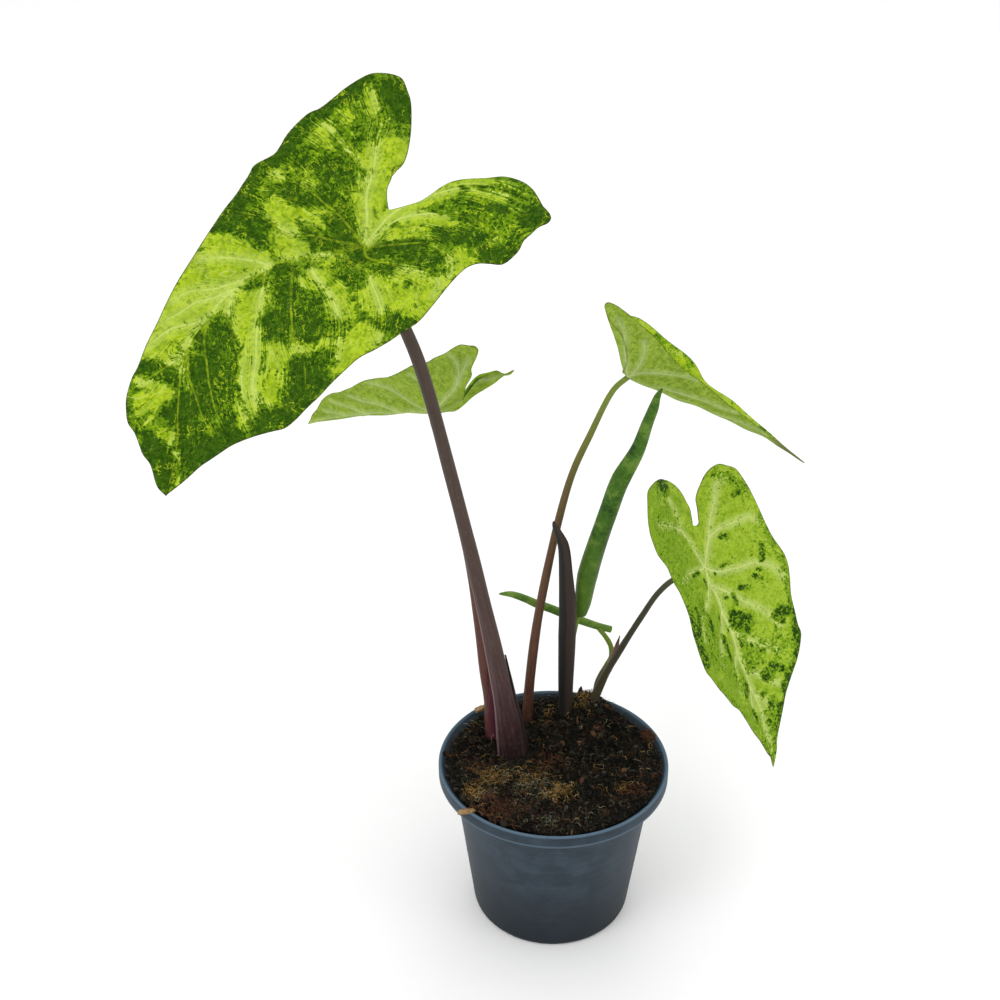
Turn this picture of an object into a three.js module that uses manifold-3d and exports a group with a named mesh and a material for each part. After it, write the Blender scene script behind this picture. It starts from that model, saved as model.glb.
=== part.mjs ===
import * as THREE from 'three';
import { mergeVertices } from 'three/addons/utils/BufferGeometryUtils.js';
import Module from 'manifold-3d';

const wasm = await Module();
wasm.setup();

// A splashed caladium in a small nursery pot.
// Millimetres, +Z up, origin at the centre of the pot's base; -Y is the side that faces the viewer.

// Clearance between neighbouring pieces
const CLEARANCE = 0.3;

// Pot
const POT_HEIGHT = 80;
const POT_WALL = 1.1;
const POT_BASE_RADIUS = 36.8;
const POT_NECK_RADIUS = 46.2;
const POT_NECK_HEIGHT = 73.5;
const POT_LEDGE_HEIGHT = 66;
const POT_LEDGE_STEP = 0.5;
const POT_RIM_RADIUS = 52.5;
const POT_RIM_BAND = 4.1;
const POT_RIM_DROP = 6.3;
const POT_SEGMENTS = 56;
const DRAIN_HOLES = 8;
const DRAIN_CIRCLE_RADIUS = 25;
const DRAIN_HOLE_RADIUS = 4;

// Potting mix
const MIX_LEVEL = 74;
const MIX_EDGE_RADIUS = 44.3;
const MIX_SEGMENTS = 48;
const MIX_RINGS = 9;

// Stalks
const STALK_SIDES = 12;
const THIN_STALK_SIDES = 9;

// Blades
const BLADE_THICKNESS = 0.8;
const KEEL_HEIGHT = 0.9;
const KEEL_HALF_WIDTH = 1.5;
const LOBE_ROWS = 5;
const LOBE_TIP_ROWS = 4;
const SIDE_ROWS = 14;
const BLADE_COLUMNS = [0, 0.08, 0.3, 0.55, 0.8, 1];
const MARGIN_WAVES = 5;
// Scales the arch of a midrib, t - t^4, to a height of 1
const ARCH_PEAK = 2.116;
// How gently a lifted lobe starts to rise at the stalk
const LIFT_BEND = 3;
// Points along each margin, and how far out each lobe's own vein ends
const MARGIN_SAMPLES = 240;
const LOBE_VEIN_REACH = 0.62;
// The rows of a lobe end before its lowest point and start again after it
const LOBE_INNER_END = 0.8;
const LOBE_OUTER_START = 0.3;
// Veins stand closer together near the stalk
const VEIN_CROWDING = 1.25;

// Each blade has its own frame: x to the right, y from the stalk to the tip, height off the plane.
// The right and left margins run from the notch between the lobes, round the lobe, to the tip.
const LEAVES = {
  leaf_1: {
    junction: [-74, -25, 336],
    tip: [-140.9, -85, 265.5],
    roll: -27,
    fold: [14, 14],
    crease: 8,
    arch: 5,
    lobeDrop: [8, 8],
    lobeLift: [0, 0],
    wave: 1.1,
    right: [
      [0, -16], [6, -24], [7, -35], [13, -47], [25, -59], [36, -56], [41, -42], [44, -26], [45, -10],
      [47, 2], [45, 18], [42, 40], [39, 64], [33, 88], [25, 102], [10, 110], [0, 114],
    ],
    left: [
      [0, -16], [-8, -26], [-13, -37], [-24, -45], [-36, -49], [-48, -44], [-54, -38], [-52, -22],
      [-42, -13], [-39, -3], [-39, 12], [-33, 31], [-28, 50], [-23, 71], [-10, 87], [-5, 97], [0, 114],
    ],
  },
  leaf_2: {
    junction: [-53.7, 69.7, 223.9],
    tip: [-116.5, 105, 199.3],
    roll: 46,
    fold: [24, 24],
    crease: 4,
    arch: 3,
    lobeDrop: [0, 0],
    lobeLift: [0.85, 0],
    wave: 0.9,
    right: [
      [0, -8], [3, -15], [5, -23], [7, -29], [11, -29], [12, -21], [11, -10], [14, 2], [17, 16],
      [17, 30], [14, 44], [9, 58], [3, 69], [0, 76],
    ],
    left: [
      [0, -8], [-8, -13], [-14, -22], [-20, -32], [-27, -38], [-31, -34], [-30, -25], [-26, -12],
      [-22, 3], [-18, 21], [-15, 35], [-13, 48], [-9, 59], [-4, 69], [0, 76],
    ],
  },
  leaf_3: {
    junction: [31.2, 50, 249.7],
    tip: [110.2, 45, 209.9],
    roll: -18,
    fold: [45, 45],
    crease: 4,
    arch: 3,
    lobeDrop: [0, 0],
    lobeLift: [0, 0],
    wave: 0.5,
    right: [
      [0, -3], [6, -4], [14, -9], [21, -17], [24, -24], [26, -20], [24, -10], [20, 2], [16, 18],
      [12, 32], [8, 48], [5, 60], [2, 76], [0, 89],
    ],
    left: [
      [0, -3], [-6, -5], [-12, -10], [-18, -17], [-24, -21], [-27, -15], [-25, -5], [-23, 9],
      [-19, 26], [-13, 35], [-9, 50], [-5, 68], [-2, 78], [0, 89],
    ],
  },
  leaf_4: {
    junction: [67, 25, 167.3],
    tip: [98.6, -12, 85.7],
    roll: -4,
    fold: [22, 22],
    crease: 6,
    arch: 4,
    lobeDrop: [4, 4],
    lobeLift: [0, 0],
    wave: 0.6,
    right: [
      [-2, -19], [-3, -27], [-1, -37], [8, -44], [20, -45], [31, -38], [36, -24], [33, -14], [29, -3],
      [28, 10], [33, 24], [34, 35], [23, 53], [10, 72], [2, 90], [0, 95],
    ],
    left: [
      [-2, -19], [-5, -24], [-10, -34], [-20, -41], [-28, -38], [-32, -25], [-35, -5], [-36, 12],
      [-32, 26], [-30, 41], [-26, 51], [-13, 68], [-6, 80], [0, 95],
    ],
  },
};

const vector = (p) => new THREE.Vector3(p[0], p[1], p[2]);

// Closes a geometry: shared vertices are merged and needle triangles with a repeated corner dropped.
function closed(geometry) {
  const bare = new THREE.BufferGeometry();
  bare.setAttribute('position', geometry.getAttribute('position').clone());
  if (geometry.index) bare.setIndex(geometry.index.clone());
  const merged = mergeVertices(bare, 1e-3);
  const corners = merged.index.array;
  const kept = [];
  for (let i = 0; i < corners.length; i += 3) {
    const [a, b, c] = [corners[i], corners[i + 1], corners[i + 2]];
    if (a !== b && b !== c && a !== c) kept.push(a, b, c);
  }
  merged.setIndex(kept);
  return merged;
}

function solid(geometry) {
  const body = closed(geometry);
  return new wasm.Manifold(new wasm.Mesh({
    numProp: 3,
    vertProperties: new Float32Array(body.getAttribute('position').array),
    triVerts: new Uint32Array(body.index.array),
  }));
}

function toGeometry(manifold) {
  const mesh = manifold.getMesh();
  const geometry = new THREE.BufferGeometry();
  geometry.setAttribute('position', new THREE.BufferAttribute(new Float32Array(mesh.vertProperties), 3));
  geometry.setIndex(Array.from(mesh.triVerts));
  return geometry;
}

// Linear interpolation in a list of [station, value] pairs
function along(pairs, u) {
  let i = 1;
  while (i < pairs.length - 1 && u > pairs[i][0]) i += 1;
  const [u0, v0] = pairs[i - 1];
  const [u1, v1] = pairs[i];
  return v0 + (v1 - v0) * THREE.MathUtils.clamp((u - u0) / (u1 - u0), 0, 1);
}

// Bends a straight extrusion along a smooth path. The outline's own x axis turns to the facing direction.
// reshape(x, y, u) gives the outline point's offsets at station u of the path.
function bend(outline, points, facing, steps, reshape, range = [0, 1]) {
  const shape = new THREE.Shape(outline.map(([x, y]) => new THREE.Vector2(x, y)));
  const geometry = new THREE.ExtrudeGeometry(shape, { depth: 1, steps, bevelEnabled: false });
  const curve = new THREE.CatmullRomCurve3(points.map(vector), false, 'centripetal');
  const position = geometry.getAttribute('position');
  for (let i = 0; i < position.count; i += 1) {
    const u = THREE.MathUtils.lerp(range[0], range[1], position.getZ(i));
    const centre = curve.getPointAt(u);
    const tangent = curve.getTangentAt(u);
    const front = vector(facing).addScaledVector(tangent, -vector(facing).dot(tangent)).normalize();
    const side = new THREE.Vector3().crossVectors(tangent, front);
    const [a, b] = reshape(position.getX(i), position.getY(i), u);
    centre.addScaledVector(front, a).addScaledVector(side, b);
    position.setXYZ(i, centre.x, centre.y, centre.z);
  }
  return geometry;
}

function circle(sides) {
  return Array.from({ length: sides }, (_, i) => {
    const angle = (2 * Math.PI * i) / sides;
    return [Math.cos(angle), Math.sin(angle)];
  });
}

// A round stalk whose radius follows [station, radius] pairs
function stalk(points, radii, { sides = STALK_SIDES, steps = 22, grow = 0, range = [0, 1] } = {}) {
  return bend(circle(sides), points, [0, -1, 0], steps, (x, y, u) => {
    const radius = along(radii, u) + grow;
    return [x * radius, y * radius];
  }, range);
}

// A sheet curled round a path: the half width is measured along the curl, which opens at the back.
// pitch is how far a full turn moves outwards, so that an inner edge lies under an outer one.
function curledSheet({ points, facing, radii, halfWidths, pitch, wall, across, steps }) {
  const outline = [];
  for (let i = 0; i <= across; i += 1) {
    const angle = -1 + (2 * i) / across;
    outline.push([2 * Math.cos(angle), 2 * Math.sin(angle)]);
  }
  for (let i = across; i >= 0; i -= 1) {
    const angle = -1 + (2 * i) / across;
    outline.push([Math.cos(angle), Math.sin(angle)]);
  }
  return bend(outline, points, facing, steps, (x, y, u) => {
    const radius = along(radii, u);
    const angle = (Math.atan2(y, x) * along(halfWidths, u)) / radius;
    const reach = radius + (pitch * angle) / (2 * Math.PI) + (Math.hypot(x, y) - 1.5) * wall;
    return [reach * Math.cos(angle), reach * Math.sin(angle)];
  });
}

// The blade's own axes: m along the midrib, n off the upper face, x to the right
function bladeFrame(leaf) {
  const junction = vector(leaf.junction);
  const m = vector(leaf.tip).sub(junction);
  const length = m.length();
  m.normalize();
  const level = new THREE.Vector3(0, 0, 1).addScaledVector(m, -m.z).normalize();
  const roll = THREE.MathUtils.degToRad(leaf.roll);
  const n = level.clone().multiplyScalar(Math.cos(roll));
  n.addScaledVector(new THREE.Vector3().crossVectors(m, level), Math.sin(roll));
  const x = new THREE.Vector3().crossVectors(m, n);
  return { junction, m, n, x, length };
}

// Height of the blade off its plane: a creased fold, an arched midrib and lobes that drop or lift
function bladeHeight(leaf, length, x, y) {
  const side = x > 0 ? 0 : 1;
  const t = y / length;
  const back = THREE.MathUtils.smoothstep(-y, 0, 25);
  const slope = Math.tan(THREE.MathUtils.degToRad(leaf.fold[side]));
  const relax = leaf.lobeLift[side] > 0.5 ? 1 - back : 1;
  const crease = slope * relax * (Math.hypot(x, leaf.crease) - leaf.crease);
  const spread = THREE.MathUtils.smoothstep(Math.abs(x), 0, 6);
  if (t > 0) return crease + leaf.arch * ARCH_PEAK * (t - t ** 4);
  const lift = leaf.lobeLift[side] * spread * (Math.hypot(y, LIFT_BEND) - LIFT_BEND);
  return crease - leaf.lobeDrop[side] * t * t + lift;
}

// Rows of plane points from the veins to the margin, in order round one half of the blade
function bladeRows(margin, length) {
  const curve = new THREE.CatmullRomCurve3(
    margin.map(([x, y]) => new THREE.Vector3(x, y, 0)), false, 'centripetal',
  );
  const samples = curve.getSpacedPoints(MARGIN_SAMPLES);
  let lobe = 0;
  samples.forEach((p, i) => { if (p.y < samples[lobe].y) lobe = i; });
  let shoulder = lobe;
  while (samples[shoulder].y < 0.02 * length) shoulder += 1;
  const lobeVein = samples[lobe].clone().multiplyScalar(LOBE_VEIN_REACH);
  const inner = Math.round(lobe * LOBE_INNER_END);
  const outer = Math.round(THREE.MathUtils.lerp(lobe, shoulder, LOBE_OUTER_START));
  const rows = [];
  const addRow = (foot, sample) => {
    const u = sample / MARGIN_SAMPLES;
    rows.push({ foot, rim: curve.getPointAt(u), u });
  };
  for (let i = 0; i <= LOBE_ROWS; i += 1) {
    addRow(lobeVein.clone().multiplyScalar(i / LOBE_ROWS), (inner * i) / LOBE_ROWS);
  }
  for (let i = 1; i < LOBE_TIP_ROWS; i += 1) {
    addRow(lobeVein.clone(), THREE.MathUtils.lerp(inner, outer, i / LOBE_TIP_ROWS));
  }
  for (let i = 0; i <= LOBE_ROWS; i += 1) {
    const u = THREE.MathUtils.lerp(outer, shoulder, i / LOBE_ROWS);
    addRow(lobeVein.clone().multiplyScalar(1 - i / LOBE_ROWS), u);
  }
  for (let i = 1; i <= SIDE_ROWS; i += 1) {
    const k = i / SIDE_ROWS;
    const foot = new THREE.Vector3(0, length * Math.pow(k, VEIN_CROWDING), 0);
    addRow(foot, THREE.MathUtils.lerp(shoulder, MARGIN_SAMPLES, k));
  }
  return rows;
}

// A thin waved blade; both faces share one pattern of triangles
function bladeGeometry(leaf) {
  const { junction, m, n, x: right, length } = bladeFrame(leaf);
  const height = (x, y) => bladeHeight(leaf, length, x, y);
  const place = (point, upper) => {
    const step = 0.2;
    const slopeX = (height(point.x + step, point.y) - height(point.x - step, point.y)) / (2 * step);
    const slopeY = (height(point.x, point.y + step) - height(point.x, point.y - step)) / (2 * step);
    const normal = new THREE.Vector3(-slopeX, -slopeY, 1).normalize();
    const rib = KEEL_HEIGHT * (1 - 0.7 * Math.max(point.y / length, 0)) * (point.y > -1 ? 1 : 0);
    const keel = rib * Math.exp(-((point.x / KEEL_HALF_WIDTH) ** 2));
    const offset = upper ? BLADE_THICKNESS / 2 : -BLADE_THICKNESS / 2 - keel;
    const x = point.x + normal.x * offset;
    const y = point.y + normal.y * offset;
    const z = height(point.x, point.y) + point.z + normal.z * offset;
    return junction.clone().addScaledVector(right, x).addScaledVector(m, y).addScaledVector(n, z);
  };
  const corners = [];
  const quad = ([a, b, c, d], outward) => {
    const order = outward ? [a, b, c, a, c, d] : [a, c, b, a, d, c];
    for (const corner of order) corners.push(...corner.toArray());
  };
  for (const [side, margin] of [[1, leaf.right], [-1, leaf.left]]) {
    const rows = bladeRows(margin, length);
    const grid = rows.map(({ foot, rim, u }) => BLADE_COLUMNS.map((s) => {
      const point = foot.clone().lerp(rim, s);
      point.z = leaf.wave * s ** 3 * Math.sin(Math.PI * u) * Math.sin(2 * Math.PI * MARGIN_WAVES * u + side);
      return point;
    }));
    for (let i = 0; i < grid.length - 1; i += 1) {
      const [row, next] = [grid[i], grid[i + 1]];
      for (let j = 0; j < row.length - 1; j += 1) {
        const cell = [row[j], row[j + 1], next[j + 1], next[j]];
        quad(cell.map((p) => place(p, true)), side > 0);
        quad(cell.map((p) => place(p, false)), side < 0);
      }
      const [rim, nextRim] = [row[row.length - 1], next[next.length - 1]];
      quad([place(rim, true), place(nextRim, true), place(nextRim, false), place(rim, false)], side < 0);
    }
  }
  const geometry = new THREE.BufferGeometry();
  geometry.setAttribute('position', new THREE.Float32BufferAttribute(corners, 3));
  return closed(geometry);
}

// A point on the underside of a blade, straight below the place where its stalk meets it
function under(leaf, depth) {
  const { junction, n } = bladeFrame(leaf);
  return junction.addScaledVector(n, -depth).toArray();
}

const STALK_SEAT = BLADE_THICKNESS / 2 + KEEL_HEIGHT + CLEARANCE + 0.2;

// Stalk paths start on the corm, below the surface of the mix
const STALKS = {
  petiole_1: {
    points: [
      [-16.2, 16, 57], [-18.3, 13.1, 73.4], [-22.1, 8.4, 105.4], [-25.7, 5, 129], [-32.5, -0.9, 169.9],
      [-43.7, -9.7, 230.8], [-55.9, -18.1, 288.4], [-66, -21, 315.5],
      under(LEAVES.leaf_1, 8), under(LEAVES.leaf_1, STALK_SEAT),
    ],
    radii: [[0, 4.6], [0.07, 5.1], [0.17, 4.3], [0.26, 3.9], [0.4, 3.3], [0.62, 2.7], [1, 2.4]],
    steps: 24,
  },
  petiole_2: {
    points: [
      [-26.8, 18, 57], [-28.2, 22.9, 75.7], [-29.1, 28.1, 92.3], [-31.4, 32.7, 106.8], [-36.4, 44.4, 143.8],
      [-46.3, 60.1, 193.7], [-49.8, 63.2, 206], under(LEAVES.leaf_2, 5), under(LEAVES.leaf_2, STALK_SEAT),
    ],
    radii: [[0, 3], [0.1, 3.3], [0.3, 2.7], [0.6, 2], [1, 1.6]],
    steps: 20,
  },
  petiole_3: {
    points: [
      [-12.6, 29.6, 56], [-11.5, 32, 77.5], [-10.3, 34.2, 99.4], [-6, 38.3, 137.8], [6.7, 44.9, 200.9],
      [15.1, 47.1, 222.2], [25, 49, 243.5], under(LEAVES.leaf_3, STALK_SEAT + 0.3),
    ],
    radii: [[0, 2.4], [0.12, 2.5], [0.4, 2.2], [0.75, 1.9], [1, 1.5]],
    steps: 22,
  },
  petiole_unfurling: {
    points: [
      [8.2, 32.6, 58], [7.6, 34.6, 84], [7.4, 34.4, 104], [9.2, 36, 121], [11.8, 38.6, 133.45],
    ],
    radii: [[0, 1.3], [1, 1.2]],
    sides: THIN_STALK_SIDES,
    steps: 14,
  },
};

const SIDE_STALK = {
  points: [
    [13, 33.5, 60], [16.8, 36.4, 76], [21.3, 36.8, 89.3], [25.5, 35.1, 102.8], [30.1, 33.6, 114.2],
    [40.4, 30.5, 138.1], [46.9, 28.7, 151.7], [53.1, 27.7, 159.3],
    under(LEAVES.leaf_4, 6), under(LEAVES.leaf_4, STALK_SEAT),
  ],
  radii: [[0, 1.9], [0.22, 2.4], [0.36, 1.8], [0.6, 1.45], [1, 1.4]],
  sides: THIN_STALK_SIDES,
  steps: 26,
};

const SMALL_LEAF_STALK = {
  points: [
    [21.2, 37.4, 90], [22.9, 39.3, 95.6], [25.8, 41.5, 101.7], [28.2, 43.1, 106.6], [27.4, 45, 111.4],
    [24.6, 47, 114.6], [21.7, 49.2, 116.2],
  ],
  radii: [[0, 1.6], [0.4, 1.3], [1, 1.1]],
  sides: THIN_STALK_SIDES,
  steps: 14,
};

const DARK_SHEATH = {
  points: [
    [7.4, 33.4, 61], [6.8, 34, 84], [6.6, 33.5, 94], [6.5, 32.1, 124], [6.3, 31.2, 143.6], [5.2, 30.4, 160.2],
    [3.7, 29.6, 176.4], [1.4, 29.3, 184.4], [-0.1, 29, 190.1],
  ],
  radii: [[0, 2.9], [0.2, 3.1], [0.5, 3.8], [0.66, 3.5], [0.78, 2.8], [1, 1.8]],
};

const BUD = {
  points: [[13.4, 40.4, 78], [14, 42, 86], [14.6, 42.8, 89.5]],
  radii: [[0, 1.4], [0.6, 1.4], [1, 0.5]],
};
const BUD_SOCKET = { points: BUD.points, radii: [[0, 1.4], [1, 1.4]] };

const CORM_SEGMENTS = 14;
const CORMS = {
  corm_main: { centre: [-18.5, 21, 52], radii: [12, 12.5, 11] },
  corm_second: { centre: [10.5, 31.5, 57], radii: [10, 7.5, 8] },
};

function corm(name, grow = 0) {
  const { centre, radii } = CORMS[name];
  const geometry = new THREE.SphereGeometry(1, CORM_SEGMENTS, CORM_SEGMENTS / 2 + 1);
  geometry.rotateX(Math.PI / 2);
  geometry.scale(radii[0] + grow, radii[1] + grow, radii[2] + grow);
  geometry.translate(...centre);
  return geometry;
}

function seatedOnCorm(geometry, name) {
  return solid(geometry).subtract(solid(corm(name, CLEARANCE)));
}

// Pot
function potGeometry() {
  const floor = POT_WALL + 0.3;
  const skirt = POT_RIM_RADIUS - POT_WALL;
  const shoulder = POT_RIM_RADIUS - POT_RIM_BAND;
  const ledge = THREE.MathUtils.lerp(POT_BASE_RADIUS, POT_NECK_RADIUS, POT_LEDGE_HEIGHT / POT_NECK_HEIGHT);
  const top = POT_HEIGHT;
  const profile = [
    [0, 0], [POT_BASE_RADIUS - 2.2, 0], [POT_BASE_RADIUS - 0.6, 0.7], [POT_BASE_RADIUS, 2.4],
    [ledge - POT_LEDGE_STEP, POT_LEDGE_HEIGHT - 0.4], [ledge, POT_LEDGE_HEIGHT],
    [POT_NECK_RADIUS, POT_NECK_HEIGHT], [shoulder + 0.5, top - POT_WALL],
    [skirt - 0.6, top - POT_WALL], [skirt, top - POT_WALL - 0.6], [skirt, top - POT_RIM_DROP],
    [POT_RIM_RADIUS, top - POT_RIM_DROP], [POT_RIM_RADIUS, top - 0.9], [POT_RIM_RADIUS - 0.3, top - 0.3],
    [POT_RIM_RADIUS - 0.9, top], [shoulder + 0.4, top], [shoulder, top - 0.4],
    [POT_NECK_RADIUS - POT_WALL, POT_NECK_HEIGHT], [ledge - POT_WALL, POT_LEDGE_HEIGHT - 0.2],
    [POT_BASE_RADIUS - POT_WALL, floor + 1.6], [POT_BASE_RADIUS - POT_WALL - 1.4, floor], [0, floor],
  ];
  const geometry = new THREE.LatheGeometry(profile.map(([r, z]) => new THREE.Vector2(r, z)), POT_SEGMENTS);
  geometry.rotateX(Math.PI / 2);
  let pot = solid(geometry);
  for (let i = 0; i < DRAIN_HOLES; i += 1) {
    const angle = (2 * Math.PI * i) / DRAIN_HOLES;
    const hole = new THREE.CylinderGeometry(DRAIN_HOLE_RADIUS, DRAIN_HOLE_RADIUS, 4 * floor, 10);
    hole.rotateX(Math.PI / 2);
    hole.translate(DRAIN_CIRCLE_RADIUS * Math.cos(angle), DRAIN_CIRCLE_RADIUS * Math.sin(angle), 0);
    pot = pot.subtract(solid(hole));
  }
  return toGeometry(pot);
}

// Lumps of bark and coir on the mix, each with its place, width and height
const MIX_LUMPS = [
  [-38, -8, 5, 2.2], [-30, -26, 6, 3], [-12, -36, 6, 2.6], [8, -38, 5, 2], [26, -30, 6, 2.6],
  [38, -12, 5, 2.4], [37, 10, 5, 2], [24, 14, 6, 3], [10, -4, 6, 2.4], [-8, -16, 6, 2],
  [-20, -8, 5, 2.4], [2, 14, 5, 2.2], [20, -12, 5, 1.8], [-36, 14, 5, 2.2], [-4, -28, 4, 1.8],
  [32, 24, 5, 2], [-26, 34, 5, 1.4],
];

// Surface of the mix: a mound behind the shoots, a rise round the stalks, and the lumps
function mixHeight(x, y) {
  const bump = (cx, cy, width, height) => {
    const distance = Math.hypot(x - cx, y - cy);
    return height * Math.exp(-(distance ** 2) / (2 * width ** 2));
  };
  let z = MIX_LEVEL + bump(17, 37, 7.5, 11) + bump(5, 24, 15, 4) + bump(-20, -38, 12, 1.5);
  for (const [cx, cy, width, height] of MIX_LUMPS) z += bump(cx, cy, width * 0.6, height * 0.8);
  z += 0.5 * Math.sin(x * 0.61 + 1) * Math.sin(y * 0.53) + 0.35 * Math.sin(x * 1.3) * Math.cos(y * 1.1);
  return z;
}

function mixBody() {
  const floor = POT_WALL + 0.3 + CLEARANCE;
  const inside = POT_WALL + CLEARANCE + 0.4;
  const slope = (POT_NECK_RADIUS - POT_BASE_RADIUS) / POT_NECK_HEIGHT;
  const wallAt = (z) => POT_BASE_RADIUS + slope * z - inside - POT_LEDGE_STEP;
  const profile = [
    [0, floor], [wallAt(0) - 1.8, floor], [wallAt(4), 4],
    [wallAt(POT_LEDGE_HEIGHT), POT_LEDGE_HEIGHT], [MIX_EDGE_RADIUS, MIX_LEVEL - 3],
  ];
  for (let i = 0; i < MIX_RINGS; i += 1) {
    profile.push([MIX_EDGE_RADIUS * (1 - i / MIX_RINGS), MIX_LEVEL]);
  }
  profile.push([0, MIX_LEVEL]);
  const geometry = new THREE.LatheGeometry(profile.map(([r, z]) => new THREE.Vector2(r, z)), MIX_SEGMENTS);
  geometry.rotateX(Math.PI / 2);
  const position = geometry.getAttribute('position');
  for (let i = 0; i < position.count; i += 1) {
    if (Math.abs(position.getZ(i) - MIX_LEVEL) < 1e-3) {
      position.setZ(i, mixHeight(position.getX(i), position.getY(i)));
    }
  }
  return solid(geometry);
}

// The plain hole that a stalk stands in, a little longer than the stalk at its foot
function stalkHole({ points, radii, sides }, top) {
  const [foot, next] = points.map(vector);
  const start = foot.clone().addScaledVector(foot.clone().sub(next).normalize(), 1).toArray();
  const options = { sides, steps: 6, grow: CLEARANCE + 0.1, range: [0, top] };
  return solid(stalk([start, ...points], radii, options));
}

function mixGeometry() {
  let mix = mixBody();
  mix = mix.subtract(solid(corm('corm_main', CLEARANCE + 0.1)));
  mix = mix.subtract(solid(corm('corm_second', CLEARANCE + 0.1)));
  mix = mix.subtract(stalkHole(STALKS.petiole_1, 0.16));
  mix = mix.subtract(stalkHole(STALKS.petiole_2, 0.24));
  mix = mix.subtract(stalkHole(STALKS.petiole_3, 0.2));
  mix = mix.subtract(stalkHole(SIDE_STALK, 0.34));
  const sheath = { points: DARK_SHEATH.points, radii: DARK_SHEATH.radii.map(([u, r]) => [u, r + 0.5]) };
  mix = mix.subtract(stalkHole(sheath, 0.3));
  mix = mix.subtract(stalkHole(SMALL_SHEATH_SOCKET, 1));
  mix = mix.subtract(stalkHole(BUD_SOCKET, 1));
  const parts = mix.decompose().sort((a, b) => b.volume() - a.volume());
  return toGeometry(parts[0]);
}

// Short pointed sheath against the right of the thick stalk
const SMALL_SHEATH = {
  points: [[-15.6, 14.8, 68], [-17.6, 12.6, 86], [-20.3, 9.9, 104], [-25.6, 6.6, 132]],
  facing: [0.94, 0.34, 0],
  radii: [[0, 5.2], [0.5, 4.8], [1, 4.4]],
  halfWidths: [[0, 4.5], [0.5, 3.4], [1, 0.4]],
  pitch: 0,
  wall: 0.9,
  across: 6,
  steps: 8,
};

const SMALL_SHEATH_SOCKET = {
  points: SMALL_SHEATH.points.slice(0, 2),
  radii: [[0, 5.7], [1, 5.7]],
};

function smallSheathGeometry() {
  const { points, radii } = STALKS.petiole_1;
  const stem = solid(stalk(points, radii, { steps: 16, grow: CLEARANCE + 0.1, range: [0, 0.4] }));
  return toGeometry(solid(curledSheet(SMALL_SHEATH)).subtract(stem));
}

function darkSheathGeometry() {
  const sheet = curledSheet({
    points: DARK_SHEATH.points,
    facing: [-0.5, -0.85, 0],
    radii: DARK_SHEATH.radii,
    halfWidths: [[0, 7], [0.4, 9], [0.66, 7.6], [0.78, 5.2], [0.9, 2.8], [1, 0.3]],
    pitch: 0,
    wall: 0.8,
    across: 10,
    steps: 18,
  });
  return toGeometry(seatedOnCorm(sheet, 'corm_second'));
}

// Two thin stalks from one shoot, with a pointed sheath in their fork
function sideShootGeometry() {
  const main = solid(stalk(SIDE_STALK.points, SIDE_STALK.radii, SIDE_STALK));
  const small = solid(stalk(SMALL_LEAF_STALK.points, SMALL_LEAF_STALK.radii, SMALL_LEAF_STALK));
  const tongue = solid(stalk(
    [[27.2, 36.4, 104], [28.8, 37.6, 110], [31.6, 39.6, 121]],
    [[0, 1.3], [0.4, 1.5], [1, 0.35]],
    { sides: 6, steps: 5 },
  ));
  const shoot = main.add(small).add(tongue);
  return toGeometry(shoot.subtract(solid(corm('corm_second', CLEARANCE))));
}

function unfurlingLeafGeometry() {
  return closed(curledSheet({
    points: [
      [12.4, 39, 134], [13.7, 38.2, 143.4], [15.1, 37.1, 156.5], [19.2, 35.5, 175.5], [23.2, 34.1, 191.7],
      [27.4, 32.9, 207], [34.4, 31.5, 223.4], [37.9, 30.4, 236.9], [41.9, 29.3, 249.1], [44.1, 29, 253.4],
    ],
    facing: [-0.6, -0.8, 0],
    radii: [[0, 1.8], [0.08, 3], [0.18, 4.2], [0.4, 3.8], [0.62, 3.8], [0.76, 2.7], [0.88, 2], [1, 1.6]],
    halfWidths: [
      [0, 0.8], [0.08, 6.5], [0.18, 14.5], [0.4, 14.5], [0.62, 13.5], [0.76, 9], [0.88, 5], [1, 0.3],
    ],
    pitch: 1.4,
    wall: 0.75,
    across: 14,
    steps: 22,
  }));
}

function smallRolledLeafGeometry() {
  return closed(curledSheet({
    points: [
      [28.3, 50.4, 116.7], [21.6, 50.2, 118.9], [8.6, 49.5, 124.7], [-0.9, 49, 129.6], [-7.1, 48.7, 132.3],
      [-12.7, 48.4, 135.4], [-19.3, 48.1, 138.1], [-24.9, 48, 138.4],
    ],
    facing: [0, -0.7, 0.7],
    radii: [[0, 1.4], [0.3, 1.8], [0.7, 1.7], [1, 1.2]],
    halfWidths: [[0, 3], [0.2, 6], [0.65, 5], [0.85, 2.4], [1, 0.3]],
    pitch: 1.25,
    wall: 0.7,
    across: 12,
    steps: 14,
  }));
}

// Flat loose scraps that lie on the rim
const SCRAPS = {
  scrap_front: {
    outline: [[-4, -1], [0, -1.6], [4.2, -0.6], [3.4, 1], [-1, 1.5], [-3.6, 0.8]],
    thickness: 1.2,
    place: [-37.5, -34.5],
    turn: 10,
    colour: 'bark',
  },
  scrap_back: {
    outline: [[-3, -1.2], [1, -1.5], [3.2, 0], [1.4, 1.6], [-2.4, 1.2]],
    thickness: 1.6,
    place: [-34, 36.2],
    turn: 38,
    colour: 'bark',
  },
  coir_tuft: {
    outline: [[-3, -1.4], [0, -2], [3.4, -1], [3, 1.4], [-0.5, 2], [-3.2, 1]],
    thickness: 2,
    place: [45.4, 20.6],
    turn: -60,
    colour: 'mix',
  },
};

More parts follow.
